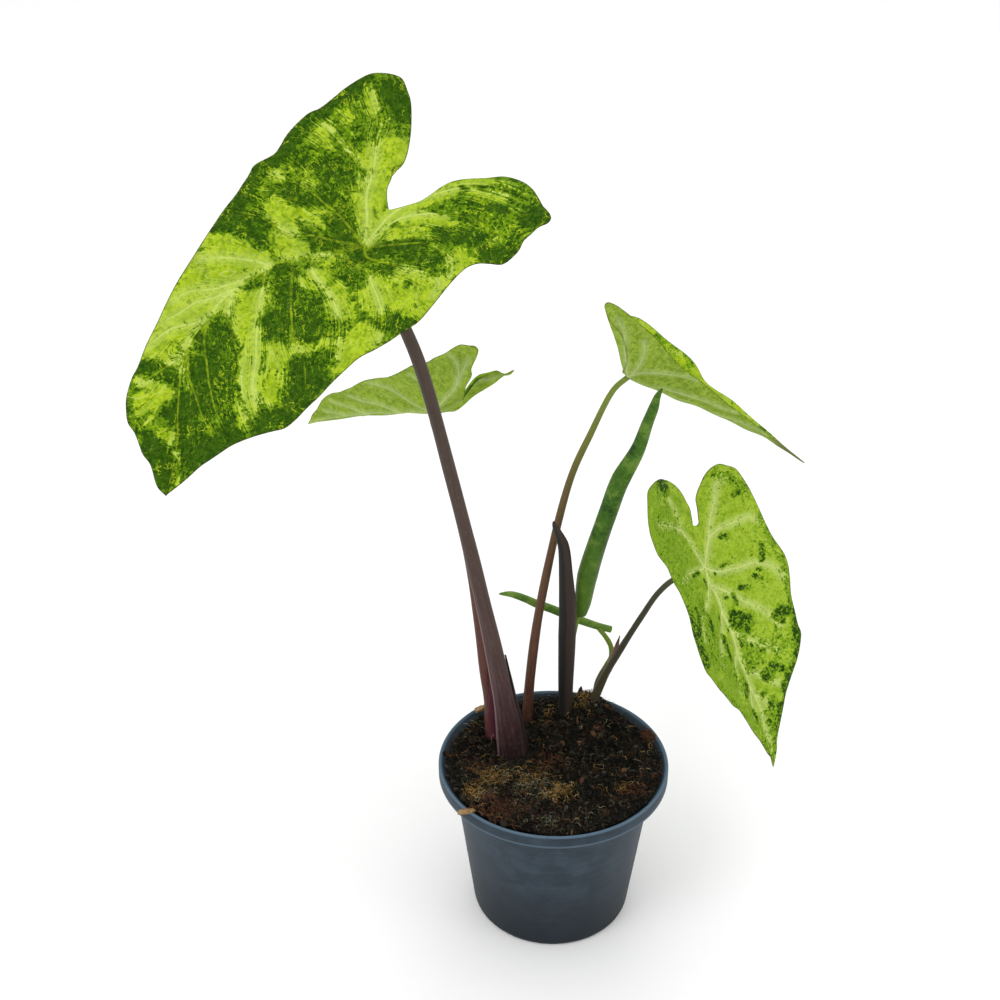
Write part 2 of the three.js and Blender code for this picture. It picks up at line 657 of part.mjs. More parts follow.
function scrapGeometry({ outline, thickness, place, turn }) {
  const shape = new THREE.Shape(outline.map(([a, b]) => new THREE.Vector2(a, b)));
  const geometry = new THREE.ExtrudeGeometry(shape, { depth: thickness, steps: 1, bevelEnabled: false });
  geometry.rotateZ(THREE.MathUtils.degToRad(turn));
  geometry.translate(place[0], place[1], POT_HEIGHT + CLEARANCE);
  return closed(geometry);
}

const COLOURS = {
  pot: [0x3f4a57, 0.5],
  mix: [0x2a211a, 1],
  corm: [0x8a6a45, 0.9],
  purple: [0x5c4545, 0.55],
  red: [0x7b5140, 0.55],
  dark: [0x2f2b2c, 0.6],
  olive: [0x5a5638, 0.55],
  green: [0x4f8a1c, 0.5],
  deepGreen: [0x2f6a22, 0.5],
  pale: [0x9cbf4f, 0.55],
  bark: [0x9a7440, 0.9],
};

const group = new THREE.Group();

function add(name, geometry, colour) {
  const [hex, roughness] = COLOURS[colour];
  const material = new THREE.MeshStandardMaterial({ color: hex, roughness, metalness: 0 });
  const mesh = new THREE.Mesh(geometry, material);
  mesh.name = name;
  group.add(mesh);
}

function stalkOnCorm(name, cormName) {
  const { points, radii } = STALKS[name];
  return toGeometry(seatedOnCorm(stalk(points, radii, STALKS[name]), cormName));
}

add('pot', potGeometry(), 'pot');
add('potting_mix', mixGeometry(), 'mix');
add('corm_main', closed(corm('corm_main')), 'corm');
add('corm_second', closed(corm('corm_second')), 'corm');
add('petiole_1', stalkOnCorm('petiole_1', 'corm_main'), 'purple');
add('petiole_2', stalkOnCorm('petiole_2', 'corm_main'), 'red');
add('petiole_3', stalkOnCorm('petiole_3', 'corm_main'), 'red');
add('petiole_unfurling', stalkOnCorm('petiole_unfurling', 'corm_second'), 'green');
add('side_shoot', sideShootGeometry(), 'olive');
add('sheath_dark', darkSheathGeometry(), 'dark');
add('sheath_small', smallSheathGeometry(), 'dark');
add('bud', closed(stalk(BUD.points, BUD.radii, { sides: 7, steps: 4 })), 'dark');
add('leaf_1', bladeGeometry(LEAVES.leaf_1), 'green');
add('leaf_2', bladeGeometry(LEAVES.leaf_2), 'pale');
add('leaf_3', bladeGeometry(LEAVES.leaf_3), 'pale');
add('leaf_4', bladeGeometry(LEAVES.leaf_4), 'green');
add('leaf_unfurling', unfurlingLeafGeometry(), 'deepGreen');
add('leaf_small_rolled', smallRolledLeafGeometry(), 'deepGreen');
for (const [name, spec] of Object.entries(SCRAPS)) add(name, scrapGeometry(spec), spec.colour);

export default group;
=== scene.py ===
"""A splashed caladium in a small nursery pot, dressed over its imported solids.

Lengths are in millimetres until a mesh is finished, then in metres.
"""

import math

import bmesh
import bpy
import numpy as np
from mathutils import Matrix, Vector, noise


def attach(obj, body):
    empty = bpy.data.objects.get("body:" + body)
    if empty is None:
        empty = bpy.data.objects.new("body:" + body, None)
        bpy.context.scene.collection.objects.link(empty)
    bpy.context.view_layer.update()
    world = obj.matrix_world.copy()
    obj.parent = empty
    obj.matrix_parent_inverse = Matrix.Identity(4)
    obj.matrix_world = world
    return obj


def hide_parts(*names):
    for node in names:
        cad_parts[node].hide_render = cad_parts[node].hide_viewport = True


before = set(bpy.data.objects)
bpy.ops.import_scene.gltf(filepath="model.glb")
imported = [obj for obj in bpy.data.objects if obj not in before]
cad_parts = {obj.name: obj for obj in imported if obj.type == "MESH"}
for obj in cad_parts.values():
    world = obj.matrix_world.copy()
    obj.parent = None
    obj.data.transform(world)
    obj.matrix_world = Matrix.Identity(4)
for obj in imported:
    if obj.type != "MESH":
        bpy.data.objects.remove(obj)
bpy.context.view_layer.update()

MM = 0.001
UP = np.array([0.0, 0.0, 1.0])

# Shapes


def unit(v):
    """A vector of length 1"""
    return np.asarray(v, float) / np.linalg.norm(v)


def ease(x, low, high):
    """0 at low and 1 at high, smooth at both ends"""
    t = np.clip((x - low) / (high - low), 0, 1)
    return t * t * (3 - 2 * t)


def smooth_path(points, count):
    """A centripetal spline through the points, as count + 1 evenly spaced ones"""
    p = np.array(points, float)
    p = np.vstack([2 * p[0] - p[1], p, 2 * p[-1] - p[-2]])
    t = np.linspace(0, 1, 24, endpoint=False)[:, None]
    pieces = []
    for a, b, c, d in zip(p, p[1:], p[2:], p[3:]):
        ab, bc, cd = (math.sqrt(np.linalg.norm(v)) for v in (b - a, c - b, d - c))
        start = ((b - a) / ab - (c - a) / (ab + bc) + (c - b) / bc) * bc
        end = ((c - b) / bc - (d - b) / (bc + cd) + (d - c) / cd) * bc
        pieces.append(b * (2 * t**3 - 3 * t**2 + 1) + c * (3 * t**2 - 2 * t**3)
                      + start * (t**3 - 2 * t**2 + t) + end * (t**3 - t**2))
    dense = np.vstack(pieces + [p[-2:-1]])
    steps = np.linalg.norm(np.diff(dense, axis=0), axis=1)
    reach = np.concatenate([[0], np.cumsum(steps)])
    wanted = np.linspace(0, reach[-1], count + 1)
    return np.stack([np.interp(wanted, reach, axis) for axis in dense.T], 1)


def along(pairs, u):
    """A value that changes along a path, given as pairs of station and value"""
    stations, values = zip(*pairs)
    return np.interp(u, stations, values)


def sheet(name, rows, columns, layers=1):
    """Flat grids, one on each layer; the points come back as u, v and layer number"""
    bm = bmesh.new()
    for layer in range(layers):
        bmesh.ops.create_grid(bm, x_segments=rows, y_segments=columns, size=0.5,
                              matrix=Matrix.Translation((0.5, 0.5, layer)))
    mesh = bpy.data.meshes.new(name)
    bm.to_mesh(mesh)
    bm.free()
    return mesh, *read_points(mesh).T


def read_points(mesh):
    """A mesh's points as rows of x, y, z"""
    points = np.empty(len(mesh.vertices) * 3)
    mesh.vertices.foreach_get("co", points)
    return points.reshape(-1, 3)


def note(mesh, name, *columns):
    """Keeps up to three numbers for each point, for the materials to read"""
    values = np.zeros((len(mesh.vertices), 3), np.float32)
    for i, column in enumerate(columns):
        values[:, i] = column
    mesh.attributes.new(name, "FLOAT_VECTOR", "POINT").data.foreach_set("vector", values.ravel())


def finish_piece(mesh, points, material, nodes, fill_ends=False, merge=0.004):
    """Lays the mesh out at points, closes its seams and makes it a piece of the plant"""
    mesh.vertices.foreach_set("co", (np.asarray(points) * MM).astype(np.float32).ravel())
    bm = bmesh.new()
    bm.from_mesh(mesh)
    bmesh.ops.remove_doubles(bm, verts=bm.verts, dist=merge * MM)
    if fill_ends:
        bmesh.ops.holes_fill(bm, edges=[e for e in bm.edges if e.is_boundary], sides=0)
    bmesh.ops.recalc_face_normals(bm, faces=bm.faces)
    for face in bm.faces:
        face.smooth = True
    bm.to_mesh(mesh)
    bm.free()
    dress(mesh, material, nodes)


def dress(mesh, material, nodes):
    """Puts the mesh into the scene as a piece that rides on the plant and replaces its nodes"""
    piece = bpy.data.objects.new(mesh.name, mesh)
    bpy.context.scene.collection.objects.link(piece)
    mesh.materials.clear()
    mesh.materials.append(material)
    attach(piece, "root")
    if nodes:
        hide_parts(*nodes)
    return piece


# Material maths


class Value:
    """A shader output that takes part in sums"""

    def __init__(self, paint, socket):
        self.paint = paint
        self.socket = socket

    def maths(self, operation, first, second):
        return self.paint.node("ShaderNodeMath", {"operation": operation}, {0: first, 1: second})

    def __add__(self, other):
        return self.maths("ADD", self, other)

    def __radd__(self, other):
        return self.maths("ADD", other, self)

    def __sub__(self, other):
        return self.maths("SUBTRACT", self, other)

    def __rsub__(self, other):
        return self.maths("SUBTRACT", other, self)

    def __mul__(self, other):
        return self.maths("MULTIPLY", self, other)

    def __rmul__(self, other):
        return self.maths("MULTIPLY", other, self)

    def __truediv__(self, other):
        return self.maths("DIVIDE", self, other)


class Paint:
    """One material; constants go straight to the surface shader's own sockets"""

    def __init__(self, name, **constants):
        self.material = bpy.data.materials.new(name)
        self.material.use_nodes = True
        self.tree = self.material.node_tree
        self.surface = self.tree.nodes["Principled BSDF"]
        for socket, value in constants.items():
            self.surface.inputs[socket.replace("_", " ")].default_value = value

    def node(self, kind, settings, inputs, output=0):
        """A new node, its inputs linked where they are outputs and set where they are numbers"""
        made = self.tree.nodes.new(kind)
        for key, value in settings.items():
            if key == "stops":
                ramp = made.color_ramp.elements
                while len(ramp) < len(value):
                    ramp.new(0.5)
                for element, (place, colour) in zip(ramp, value):
                    element.position = place
                    element.color = colour
            else:
                setattr(made, key, value)
        for key, value in inputs.items():
            if isinstance(value, Value):
                self.tree.links.new(value.socket, made.inputs[key])
            else:
                made.inputs[key].default_value = value
        return Value(self, made.outputs[output])

    def drive(self, socket, value):
        """Links a value to the surface shader"""
        self.tree.links.new(value.socket, self.surface.inputs[socket])

    def noted(self, name):
        """A note kept with the mesh"""
        return self.node("ShaderNodeAttribute", {"attribute_name": name}, {}, "Vector")

    def place(self):
        """The point in the object's own metres"""
        return self.node("ShaderNodeTexCoord", {}, {}, "Object")

    def size(self, value):
        """The number without its sign"""
        return self.node("ShaderNodeMath", {"operation": "ABSOLUTE"}, {0: value})

    def parts(self, vector):
        return [self.node("ShaderNodeSeparateXYZ", {}, {0: vector}, i) for i in range(3)]

    def point(self, x, y, z=0.0):
        return self.node("ShaderNodeCombineXYZ", {}, {0: x, 1: y, 2: z})

    def grain(self, vector, scale, detail, roughness):
        """Cloudy noise, about 0.5"""
        return self.node("ShaderNodeTexNoise", {}, {
            "Vector": vector, "Scale": scale, "Detail": detail, "Roughness": roughness})

    def cells(self, vector, scale, feature="F1", output="Distance"):
        """Noise of cells"""
        return self.node("ShaderNodeTexVoronoi", {"feature": feature}, {
            "Vector": vector, "Scale": scale}, output)

    def step(self, value, low, high):
        """0 at low and 1 at high, smooth at both ends"""
        return self.node("ShaderNodeMapRange", {"interpolation_type": "SMOOTHSTEP"}, {
            "Value": value, "From Min": low, "From Max": high})

    def mix(self, share, first, second):
        colours = [c if isinstance(c, Value) else rgb(c) for c in (first, second)]
        return self.node("ShaderNodeMix", {"data_type": "RGBA"}, {
            0: share, 6: colours[0], 7: colours[1]}, 2)

    def ramp(self, value, *stops):
        """A colour by stops of place and colour"""
        stops = [(place, rgb(colour)) for place, colour in stops]
        return self.node("ShaderNodeValToRGB", {"stops": stops}, {0: value}, "Color")

    def bump(self, height, distance, strength=1.0):
        made = self.node("ShaderNodeBump", {}, {
            "Height": height, "Distance": distance * MM, "Strength": strength})
        self.drive("Normal", made)


def rgb(colour):
    """Screen colour 0 to 255 as the linear colour that a shader takes"""
    linear = [(c / 255 / 12.92) if c < 10.3 else ((c / 255 + 0.055) / 1.055) ** 2.4 for c in colour]
    return (*linear, 1.0)


# Blades

# x runs to the blade's right, y from the stalk to the tip. The margins run from the notch to the tip.
# Veins are listed in order round the blade, from the right of the notch to its left. A splash is a
# spot, or a streak from one point to another, with a half width and a weight, light above zero and
# dark below. A dent is a place, its reach in x and y, and its height.
LEAVES = {
    "leaf_1": dict(
        junction=(-74, -25, 336), tip=(-140.9, -85, 265.5), roll=-27, fold=(14, 14), crease=8, arch=5,
        drop=(8, 8), lift=(0, 0), wave=0.8, valley=2.2, dents=[],
        right=[(0, -16), (3, -19), (5.4, -22.4), (6.6, -26.5), (8.5, -30.5), (6.6, -32.8),
               (7.4, -36.5), (10, -42), (13.3, -47.5), (19, -55), (22, -57.3), (26.5, -60),
               (29.5, -59.4), (33, -57.4), (36.5, -54.2), (40.4, -44), (41.2, -39.6),
               (42.6, -32), (44.3, -28), (45, -16), (44.4, -12), (44.3, -8), (46, -4),
               (47.7, 0), (47, 4), (46.6, 8), (46, 12), (45.3, 20), (44, 28), (42.3, 40),
               (41, 52), (39.4, 60), (37.3, 68), (35.4, 76), (33, 84), (32.4, 88), (30, 95),
               (27.6, 98.6), (24.8, 101.6), (21.4, 102.8), (18.4, 104.7), (14.7, 107.2),
               (10.8, 108.4), (4.2, 113.3), (0, 114)],
        left=[(0, -16), (-5, -21.6), (-8, -25.4), (-13, -37), (-24, -45), (-29, -48.3),
              (-36, -49.5), (-41, -48.7), (-46, -46.3), (-49.5, -44.2), (-53, -43),
              (-55.3, -41.3), (-55.4, -39.2), (-53.4, -36.4), (-52.6, -33), (-51.8, -29.5),
              (-52.5, -26), (-52.2, -22.4), (-50.7, -18.3), (-46.6, -16.2), (-43, -14.2),
              (-40.6, -11), (-39.4, -4), (-39, 8), (-38.4, 15), (-36, 21), (-34.4, 26),
              (-32, 32), (-29.6, 37), (-28.3, 44), (-27.3, 50), (-26.6, 56), (-25.4, 62),
              (-24.6, 68), (-23.3, 72), (-20.2, 75.2), (-15, 81), (-10.7, 87), (-8.8, 91),
              (-7, 95), (-5.2, 98.8), (-4, 103), (-2.6, 107.5), (0, 114)],
        midrib=[(0, 0), (3, 4), (8, 9), (12, 14), (16, 19), (20, 24), (22, 30), (24, 38), (26, 46),
                (26, 53), (26, 61), (24, 70), (19, 80), (14, 88), (8, 97), (4, 105), (0, 114)],
        veins=[
            [(0, 0), (4, -8), (10, -16), (14, -26), (20, -36), (22, -42), (27, -46), (32, -50)],
            [(13, -20), (21, -24), (27, -26), (34, -28), (41, -28)],
            [(0, 0), (6, -2), (14, -4), (20, -4), (26, -5), (30, -4), (36, -4), (42, -2)],
            [(0, 0), (8, 4), (16, 8), (22, 12), (30, 14), (34, 14), (38, 16), (42, 18)],
            [(21, 26), (27, 29), (31, 32), (36, 36), (40, 40)],
            [(24, 34), (27, 40), (31, 46), (36, 52), (38, 58)],
            [(26, 42), (28, 47), (32, 53), (34, 60), (36, 66)],
            [(26, 53), (28, 59), (32, 65), (34, 72), (35, 77)],
            [(24, 68), (25, 74), (27, 82), (29, 88)],
            "midrib",
            [(24, 69), (18, 76), (12, 80), (6, 84), (-2, 88)],
            [(26, 54), (22, 62), (16, 68), (10, 74), (3, 80), (-6, 84)],
            [(25, 41), (22, 48), (18, 53), (12, 57), (4, 64), (-6, 74), (-14, 78)],
            [(22, 28), (18, 34), (13, 42), (8, 50), (2, 58), (-3, 66), (-12, 72)],
            [(16, 20), (13, 24), (7, 32), (1, 39), (-4, 44), (-12, 48), (-20, 56)],
            [(12, 14), (8, 19), (2, 21), (-6, 24), (-14, 30), (-23, 42)],
            [(6, 7), (-2, 8), (-9, 8), (-15, 12), (-20, 15), (-26, 20), (-31, 28)],
            [(0, 0), (-4, 3), (-10, 2), (-20, 0), (-29, -2), (-36, -1), (-37, 4)],
            [(0, 0), (-8, -4), (-14, -8), (-22, -12), (-28, -12), (-33, -10), (-37, -5)],
            [(0, 0), (-4, -12), (-8, -18), (-16, -23), (-26, -27), (-34, -28), (-42, -25)],
            [(0, 0), (-2, -15), (-6, -24), (-12, -31), (-18, -37), (-28, -41), (-36, -42), (-44, -42)],
        ],
        splashes=[
            (2, -4, 10, -16, 3.1, 1), (10, -16, 16, -28, 4.4, 1), (14, -30, 12, -34, 6.2, 1),
            (10, -27, 5, -17, 3.5, 1), (6, -11, 10, -13, 2.5, 0.8), (34, -49, 27, -44, 2, 0.9),
            (38, -24, 34, -20, 5, 0.6), (32, -36, 36, -36, 2.8, 0.45), (32, 8, 24, 10, 3.2, 1),
            (24, 5, 16, 4, 2.5, 1), (21, 0, 16, -2, 1.5, 0.8), (27, 18, 16, 14, 2.2, 0.9),
            (21, 20, 16, 14, 1.8, 0.8), (39, 32, 25, 28, 4.8, 1), (38, 44, 28, 36, 6.5, 1),
            (37, 56, 30, 44, 6.2, 1), (34, 69, 29, 52, 6, 1), (34, 76, 30, 65, 4, 1),
            (28, 76, 26, 74, 2.2, 0.8), (25, 46, 21, 52, 2.2, 0.8), (17, 41, 12, 50, 4.5, 1),
            (12, 50, -2, 66, 4, 0.9), (-1, 66, -10, 78, 3.2, 0.8), (19, 30, 12, 41, 2.8, 0.8),
            (10, 37, 9, 37, 2.5, 0.9), (-2, 50, -12, 64, 4.1, 0.9), (0, 42, -6, 46, 2.2, 0.8),
            (-8, 48, -16, 40, 2.9, 0.9), (10, 25, 3, 24, 1.4, 0.9), (7, 20, 3, 18, 2.5, 0.8),
            (-6, 20, -10, 25, 4, 0.8), (-16, 23, -17, 23, 3.5, 0.8), (-14, 14, -29, 10, 5.2, 0.9),
            (-16, 10, -24, 20, 2.5, 1), (-22, 2, -33, -2, 3.5, 0.8), (-34, 0, -37, -12, 4.5, 0.9),
            (-34, 12, -36, 6, 5, 0.9), (-25, 43, -26, 29, 5.2, 1), (0, -4, -2, -15, 2.8, 1),
            (-2, -15, -16, -34, 2.5, 1), (-8, -16, -24, -24, 2.5, 0.8), (-7, -8, -18, -16, 2.2, 0.7),
            (-10, -34, -26, -44, 1.4, 0.8), (-23, -37, -35, -40, 1.8, 0.6),
            (-43, -24, -44, -24, 2, 0.7), (24, 93, 21, 86, 3.5, 0.9), (24, 86, 30, 87, 1.8, 0.8),
            (12, 98, 12, 96, 2.8, 0.8), (6, 100, 0, 108, 1.4, 0.9), (21, 75, 16, 79, 1.6, 0.6),
            (8, 12, 7, 12, 2.8, 0.6), (44, -1, 38, -2, 2, 0.6), (30, -10, 26, -4, 2.2, 0.5),
            (40, 6, 2, 0.5), (-2, 90, 0, 83, 1.8, 0.4), (14, 28, 8, 34, 4.8, -1),
            (6, 42, -1, 42, 5.2, -1), (22, 61, 22, 55, 4.1, -1), (14, 60, 8, 67, 4.1, -0.9),
            (16, 73, 6, 82, 4.8, -0.8), (12, 87, 0, 96, 5.8, -0.9), (3, 72, 2, 73, 3.2, -0.8),
            (-7, 85, -6, 90, 5.8, -0.8), (22, 36, 20, 32, 2.8, -0.9), (-13, 51, -19, 44, 4.8, -1),
            (-18, 60, -22, 50, 5.2, -0.9), (-16, 74, -24, 64, 5.2, -0.8), (36, -51, 42, -28, 2.8, -0.9),
            (42, -27, 43, -12, 3.2, -0.9), (43, -10, 46, 2, 2.8, -0.9), (46, 5, 43, 25, 4, -1),
            (38, 20, 30, 20, 4.5, -1), (26, -53, 18, -50, 4, -1), (32, -15, 16, -18, 5.2, -0.6),
            (32, 0, 23, -3, 3.5, -0.6), (12, -2, 5, 0, 4.8, -0.8), (16, 6, 22, 7, 2.2, -0.8),
            (19, -6, 18, -6, 4.5, -0.6), (-6, -1, -18, -10, 2.2, -0.9), (-20, -7, -32, -6, 4, -0.8),
            (-1, 5, -8, 0, 2.2, -0.8), (14, 9, 8, 6, 2.2, -0.9), (-8, 14, -9, 14, 3.2, -0.9),
            (-14, 4, -15, 4, 2.2, -0.8), (-26, 5, 1.6, -1), (-23, -25, -30, -28, 1.4, -0.9),
            (-24, -17, -37, -22, 2.8, -0.8), (-44, -20, -51, -22, 3.5, -0.9),
            (-49, -38, -52, -42, 3.5, -1), (-27, -32, -38, -36, 1.5, -0.8),
            (-26, 22, -36, 18, 3.2, -0.9), (3, 32, -8, 36, 4.8, -0.6), (32, 84, 27, 80, 2.9, -0.9),
            (22, 80, 21, 80, 2.2, -0.8), (12, 104, 5, 107, 4.5, -0.9), (-17, 22, -20, 24, 1.5, -0.8),
            (-34, 11, 1.1, -0.9),
        ],
    ),
    "leaf_2": dict(
        junction=(-53.7, 69.7, 223.9), tip=(-116.5, 105, 199.3), roll=46, fold=(24, 24), crease=4,
        arch=3,
        drop=(0, 0), lift=(0.85, 0), wave=0.6, valley=0.4,
        dents=[(2.5, -17, 4, 6, 7), (8, -31, 5, 4, -6), (9, -14, 4, 6, 2)],
        right=[(0, -15), (2.6, -18), (4, -21), (6, -28), (8, -32), (10.6, -32.4), (12, -28),
               (12.6, -22), (12, -16), (11.4, -10), (13, -3), (15, 5), (17, 16), (17, 30),
               (14, 44), (9, 58), (3, 69), (0, 76)],
        left=[(0, -15), (-4.5, -19), (-10.5, -23.5), (-16.8, -30.8), (-20, -32.5),
              (-23, -35.6), (-25.8, -38.8), (-29, -41.4), (-30.6, -40.4), (-31, -37.8),
              (-32, -34), (-31.2, -29.5), (-29.6, -24), (-28.4, -18), (-26.4, -13),
              (-25.4, -8), (-24.9, -3), (-23.3, 3), (-22, 8), (-20.6, 14), (-20, 19),
              (-19, 24), (-18.2, 29), (-17, 34), (-15.8, 38), (-14.8, 43), (-13.8, 47),
              (-13.6, 51), (-12.6, 55), (-10.8, 59.5), (-8.6, 63), (-6.6, 66), (-4.6, 70),
              (-2.2, 73), (0, 76)],
        midrib=[(0, 0), (0, 20), (0, 40), (0, 60), (0, 76)],
        veins=[
            [(0, 0), (4, -6), (5, -12), (7, -18), (9, -24)],
            [(0, 2), (6, 4), (10, 10), (13, 18), (15, 26)],
            [(0, 18), (4, 24), (8, 31), (11, 38)],
            [(0, 38), (3, 44), (6, 50), (7, 56)],
            "midrib",
            [(0, 52), (-3, 57), (-5, 62)],
            [(0, 38), (-2, 44), (-4, 47), (-6, 50), (-9, 55)],
            [(0, 18), (-2, 22), (-4, 26), (-6, 31), (-8, 36), (-11, 43)],
            [(0, 0), (-3, 6), (-9, 12), (-14, 16), (-16, 22), (-17, 27)],
            [(-4, -3), (-10, -4), (-16, -4), (-21, 0)],
            [(-13, -20), (-20, -26), (-25, -27), (-29, -26)],
            [(0, 0), (-4, -6), (-10, -16), (-14, -22), (-19, -27), (-25, -34)],
        ],
        splashes=[
            (-14, 30, -10, 44, 3, -0.4), (-22, -10, -20, 4, 4, -0.3), (-20, -24, -26, -30, 4, -0.3),
        ],
    ),
    "leaf_3": dict(
        junction=(31.2, 50, 249.7), tip=(110.2, 45, 209.9), roll=-18, fold=(45, 45), crease=4, arch=3,
        drop=(0, 0), lift=(0, 0), wave=0.4, valley=0.2, dents=[],
        right=[(0, -3), (5, -4), (10, -6), (16.4, -11.7), (19.1, -15.2), (22.1, -22.6),
               (26.4, -28.2), (28.2, -28), (29, -24.3), (28, -16.5), (26.6, -11.5),
               (23.3, -0.8), (20, 7), (16, 18), (12, 32), (8, 48), (5, 60), (2, 76), (0, 89)],
        left=[(0, -3), (-6, -3), (-12, -4.5), (-17, -8), (-20.4, -9.3), (-23.8, -9.4),
              (-26, -6.6), (-26.8, -2.4), (-25.6, 5), (-20.6, 22), (-17.6, 29), (-13.4, 35),
              (-9.6, 50), (-5.6, 66), (-2, 78), (0, 89)],
        midrib=[(0, 0), (0, 22), (0, 44), (0, 66), (0, 89)],
        veins=[
            [(0, 0), (8, -5), (14, -10), (20, -14), (24, -20)],
            [(1, 0), (9, 0), (16, -2), (20, -5)],
            [(1, 0), (6, 2), (9, 6), (11, 11), (13, 17), (14, 24)],
            [(0, 10), (3, 14), (4, 19), (5, 26), (6, 36), (7, 48)],
            [(0, 38), (2, 46), (3, 56), (3, 66)],
            "midrib",
            [(0, 38), (-2, 46), (-4, 56), (-4, 66)],
            [(0, 10), (-4, 16), (-6, 24), (-8, 34), (-8, 46)],
            [(-1, 0), (-8, 3), (-14, 8), (-18, 15), (-20, 22)],
            [(-1, 0), (-12, -2), (-20, -2), (-24, 0)],
            [(0, 0), (-8, -6), (-14, -11), (-20, -16), (-24, -19)],
        ],
        splashes=[
            (-23, -2, -20, 10, 3, 0.6), (-22, 8, -18, 20, 2, -0.6), (-19, 14, -17, 24, 2.4, 0.9),
            (-18, 22, -14, 31, 1.8, -0.7), (-15, 30, -9, 46, 3, 1), (-10, 46, -6, 62, 2.2, 0.6),
        ],
    ),
    "leaf_4": dict(
        junction=(67, 25, 167.3), tip=(98.6, -12, 85.7), roll=-4, fold=(22, 22), crease=6, arch=4,
        drop=(4, 4), lift=(0, 0), wave=0.5, valley=0.6, dents=[],
        right=[(-3, -19), (-1.5, -19.7), (-1.5, -21.8), (-2.4, -24.4), (-3, -27),
               (-2.4, -31), (-1.8, -35), (0, -39), (3, -42), (6, -43.6), (10, -45),
               (18, -45), (26, -43), (29, -39.5), (31.2, -36.4), (33.2, -33.6), (35.2, -30),
               (36.8, -26), (37.2, -22), (37.3, -18), (35.2, -14), (33.4, -11), (32.6, -7),
               (31.4, -2.8), (29.3, 1), (28.7, 5), (28.6, 9), (29.4, 13), (31.2, 16.4),
               (33.4, 20.4), (34.3, 24), (35.2, 28), (35.4, 32), (34.8, 36.4), (32.2, 40.2),
               (28.8, 46.4), (25.9, 50.8), (22.3, 57), (19, 60), (15, 67), (11.2, 74),
               (6.6, 80.5), (2.8, 88), (0.6, 91), (0, 95.5)],
        left=[(-3, -19), (-4.6, -19.7), (-5.2, -22), (-6.3, -26), (-7, -30), (-9, -33),
              (-11.7, -35.7), (-14.5, -38.3), (-18.8, -40.5), (-23, -40.9), (-26.2, -39),
              (-29.4, -36.2), (-31.3, -29), (-32.6, -21), (-33.5, -15), (-34.5, -7),
              (-35.2, -1), (-36.6, 7), (-36.6, 12), (-35.2, 19), (-33.2, 26), (-31.7, 34),
              (-30.4, 40), (-30.3, 43.4), (-28.6, 47.3), (-24.5, 54.3), (-19.5, 60.5),
              (-14.6, 66.5), (-10.5, 73.3), (-6.6, 80.4), (-4.6, 84.6), (-3.8, 88),
              (-2, 92), (0, 95.5)],
        midrib=[(0, 0), (1, 6), (0, 11), (0, 20), (0, 30), (1, 39), (1, 48), (1, 56), (0, 66), (0, 77),
                (0, 95)],
        veins=[
            [(0, 0), (2, -6), (4, -12), (7, -18), (8, -23), (8, -28), (10, -35)],
            [(6, -16), (10, -21), (14, -23), (20, -26), (26, -28)],
            [(0, 0), (8, -1), (16, -2), (23, -1)],
            [(1, 6), (6, 12), (14, 15), (20, 18), (25, 25)],
            [(0, 20), (3, 24), (8, 29), (14, 34), (18, 40)],
            [(1, 39), (6, 44), (10, 48), (12, 54)],
            [(1, 56), (4, 62), (6, 68)],
            "midrib",
            [(1, 60), (-3, 64), (-6, 69)],
            [(1, 48), (-4, 52), (-8, 56), (-12, 60)],
            [(0, 30), (-4, 35), (-8, 38), (-12, 42), (-17, 46)],
            [(1, 8), (-4, 12), (-8, 16), (-12, 21), (-16, 25), (-20, 30), (-23, 36)],
            [(0, 0), (-6, 4), (-11, 5), (-16, 6), (-21, 6), (-26, 8), (-30, 12), (-32, 17)],
            [(-8, -12), (-14, -14), (-19, -14), (-24, -14), (-27, -14), (-31, -11)],
            [(0, 0), (-4, -7), (-8, -14), (-12, -22), (-16, -28), (-18, -32), (-22, -35)],
        ],
        splashes=[
            (4, 82, 1, 97, 4, -0.42), (-7, 66, -2, 92, 2, -0.5), (16, 40, 10, 52, 5, -0.34),
            (-4, 36, -2, 52, 2.4, -0.5), (-34, 20, -26, 62, 2.6, -0.5), (11, -42, 4.4, -0.84),
            (18, -42, 20, -38, 1.7, -0.4), (-24, -26, -26, -26, 1.6, -0.74),
            (-12, -10, -14, -10, 1.1, -0.74), (-14, -8, 0.8, -0.74), (-8, 2, -12, 2, 1, -0.74),
            (-4, 4, 0.7, -0.74), (-28, 0, -26, 6, 1.4, -0.74), (-20, 12, -22, 14, 1.4, -0.74),
            (-23, 10, 1.1, -0.74), (-12, 14, -16, 16, 1.3, -0.74), (-8, 16, -8, 20, 1.1, -0.74),
            (-4, 16, 0.9, -0.74), (-4, 23, -10, 28, 1.6, -0.74), (-4, 29, -9, 32, 2.6, -0.74),
            (-25, 31, -28, 32, 2.5, -0.74), (-22, 32, -24, 35, 1.5, -0.74),
            (23, 15, 27, 20, 2.5, -0.74), (23, 12, 1.7, -0.74), (14, 19, 17, 25, 1.6, -0.74),
            (6, 22, 1.4, -0.74), (8, 30, 10, 40, 1.4, -0.74), (2, 29, 1, -0.74), (25, 32, 1.5, -0.74),
            (-11, 44, 1.4, -0.74), (-7, 40, 1.1, -0.74), (-19, 41, 0.9, -0.74),
            (-20, 36, -19, 38, 0.8, -0.74), (-27, 44, -25, 50, 1.3, -0.74),
            (-12, 51, -16, 55, 1.6, -0.74), (-9, 55, 3.1, -0.74), (6, 55, 3.1, -0.74),
            (10, 48, 1.1, -0.74), (8, 58, 1.5, -0.74), (-4, 62, 1.5, -0.74), (6, 66, 5, 70, 1.3, -0.74),
            (-6, 68, 1.3, -0.74), (-3, 75, 1.7, -0.74), (-2, 70, 1, -0.74),
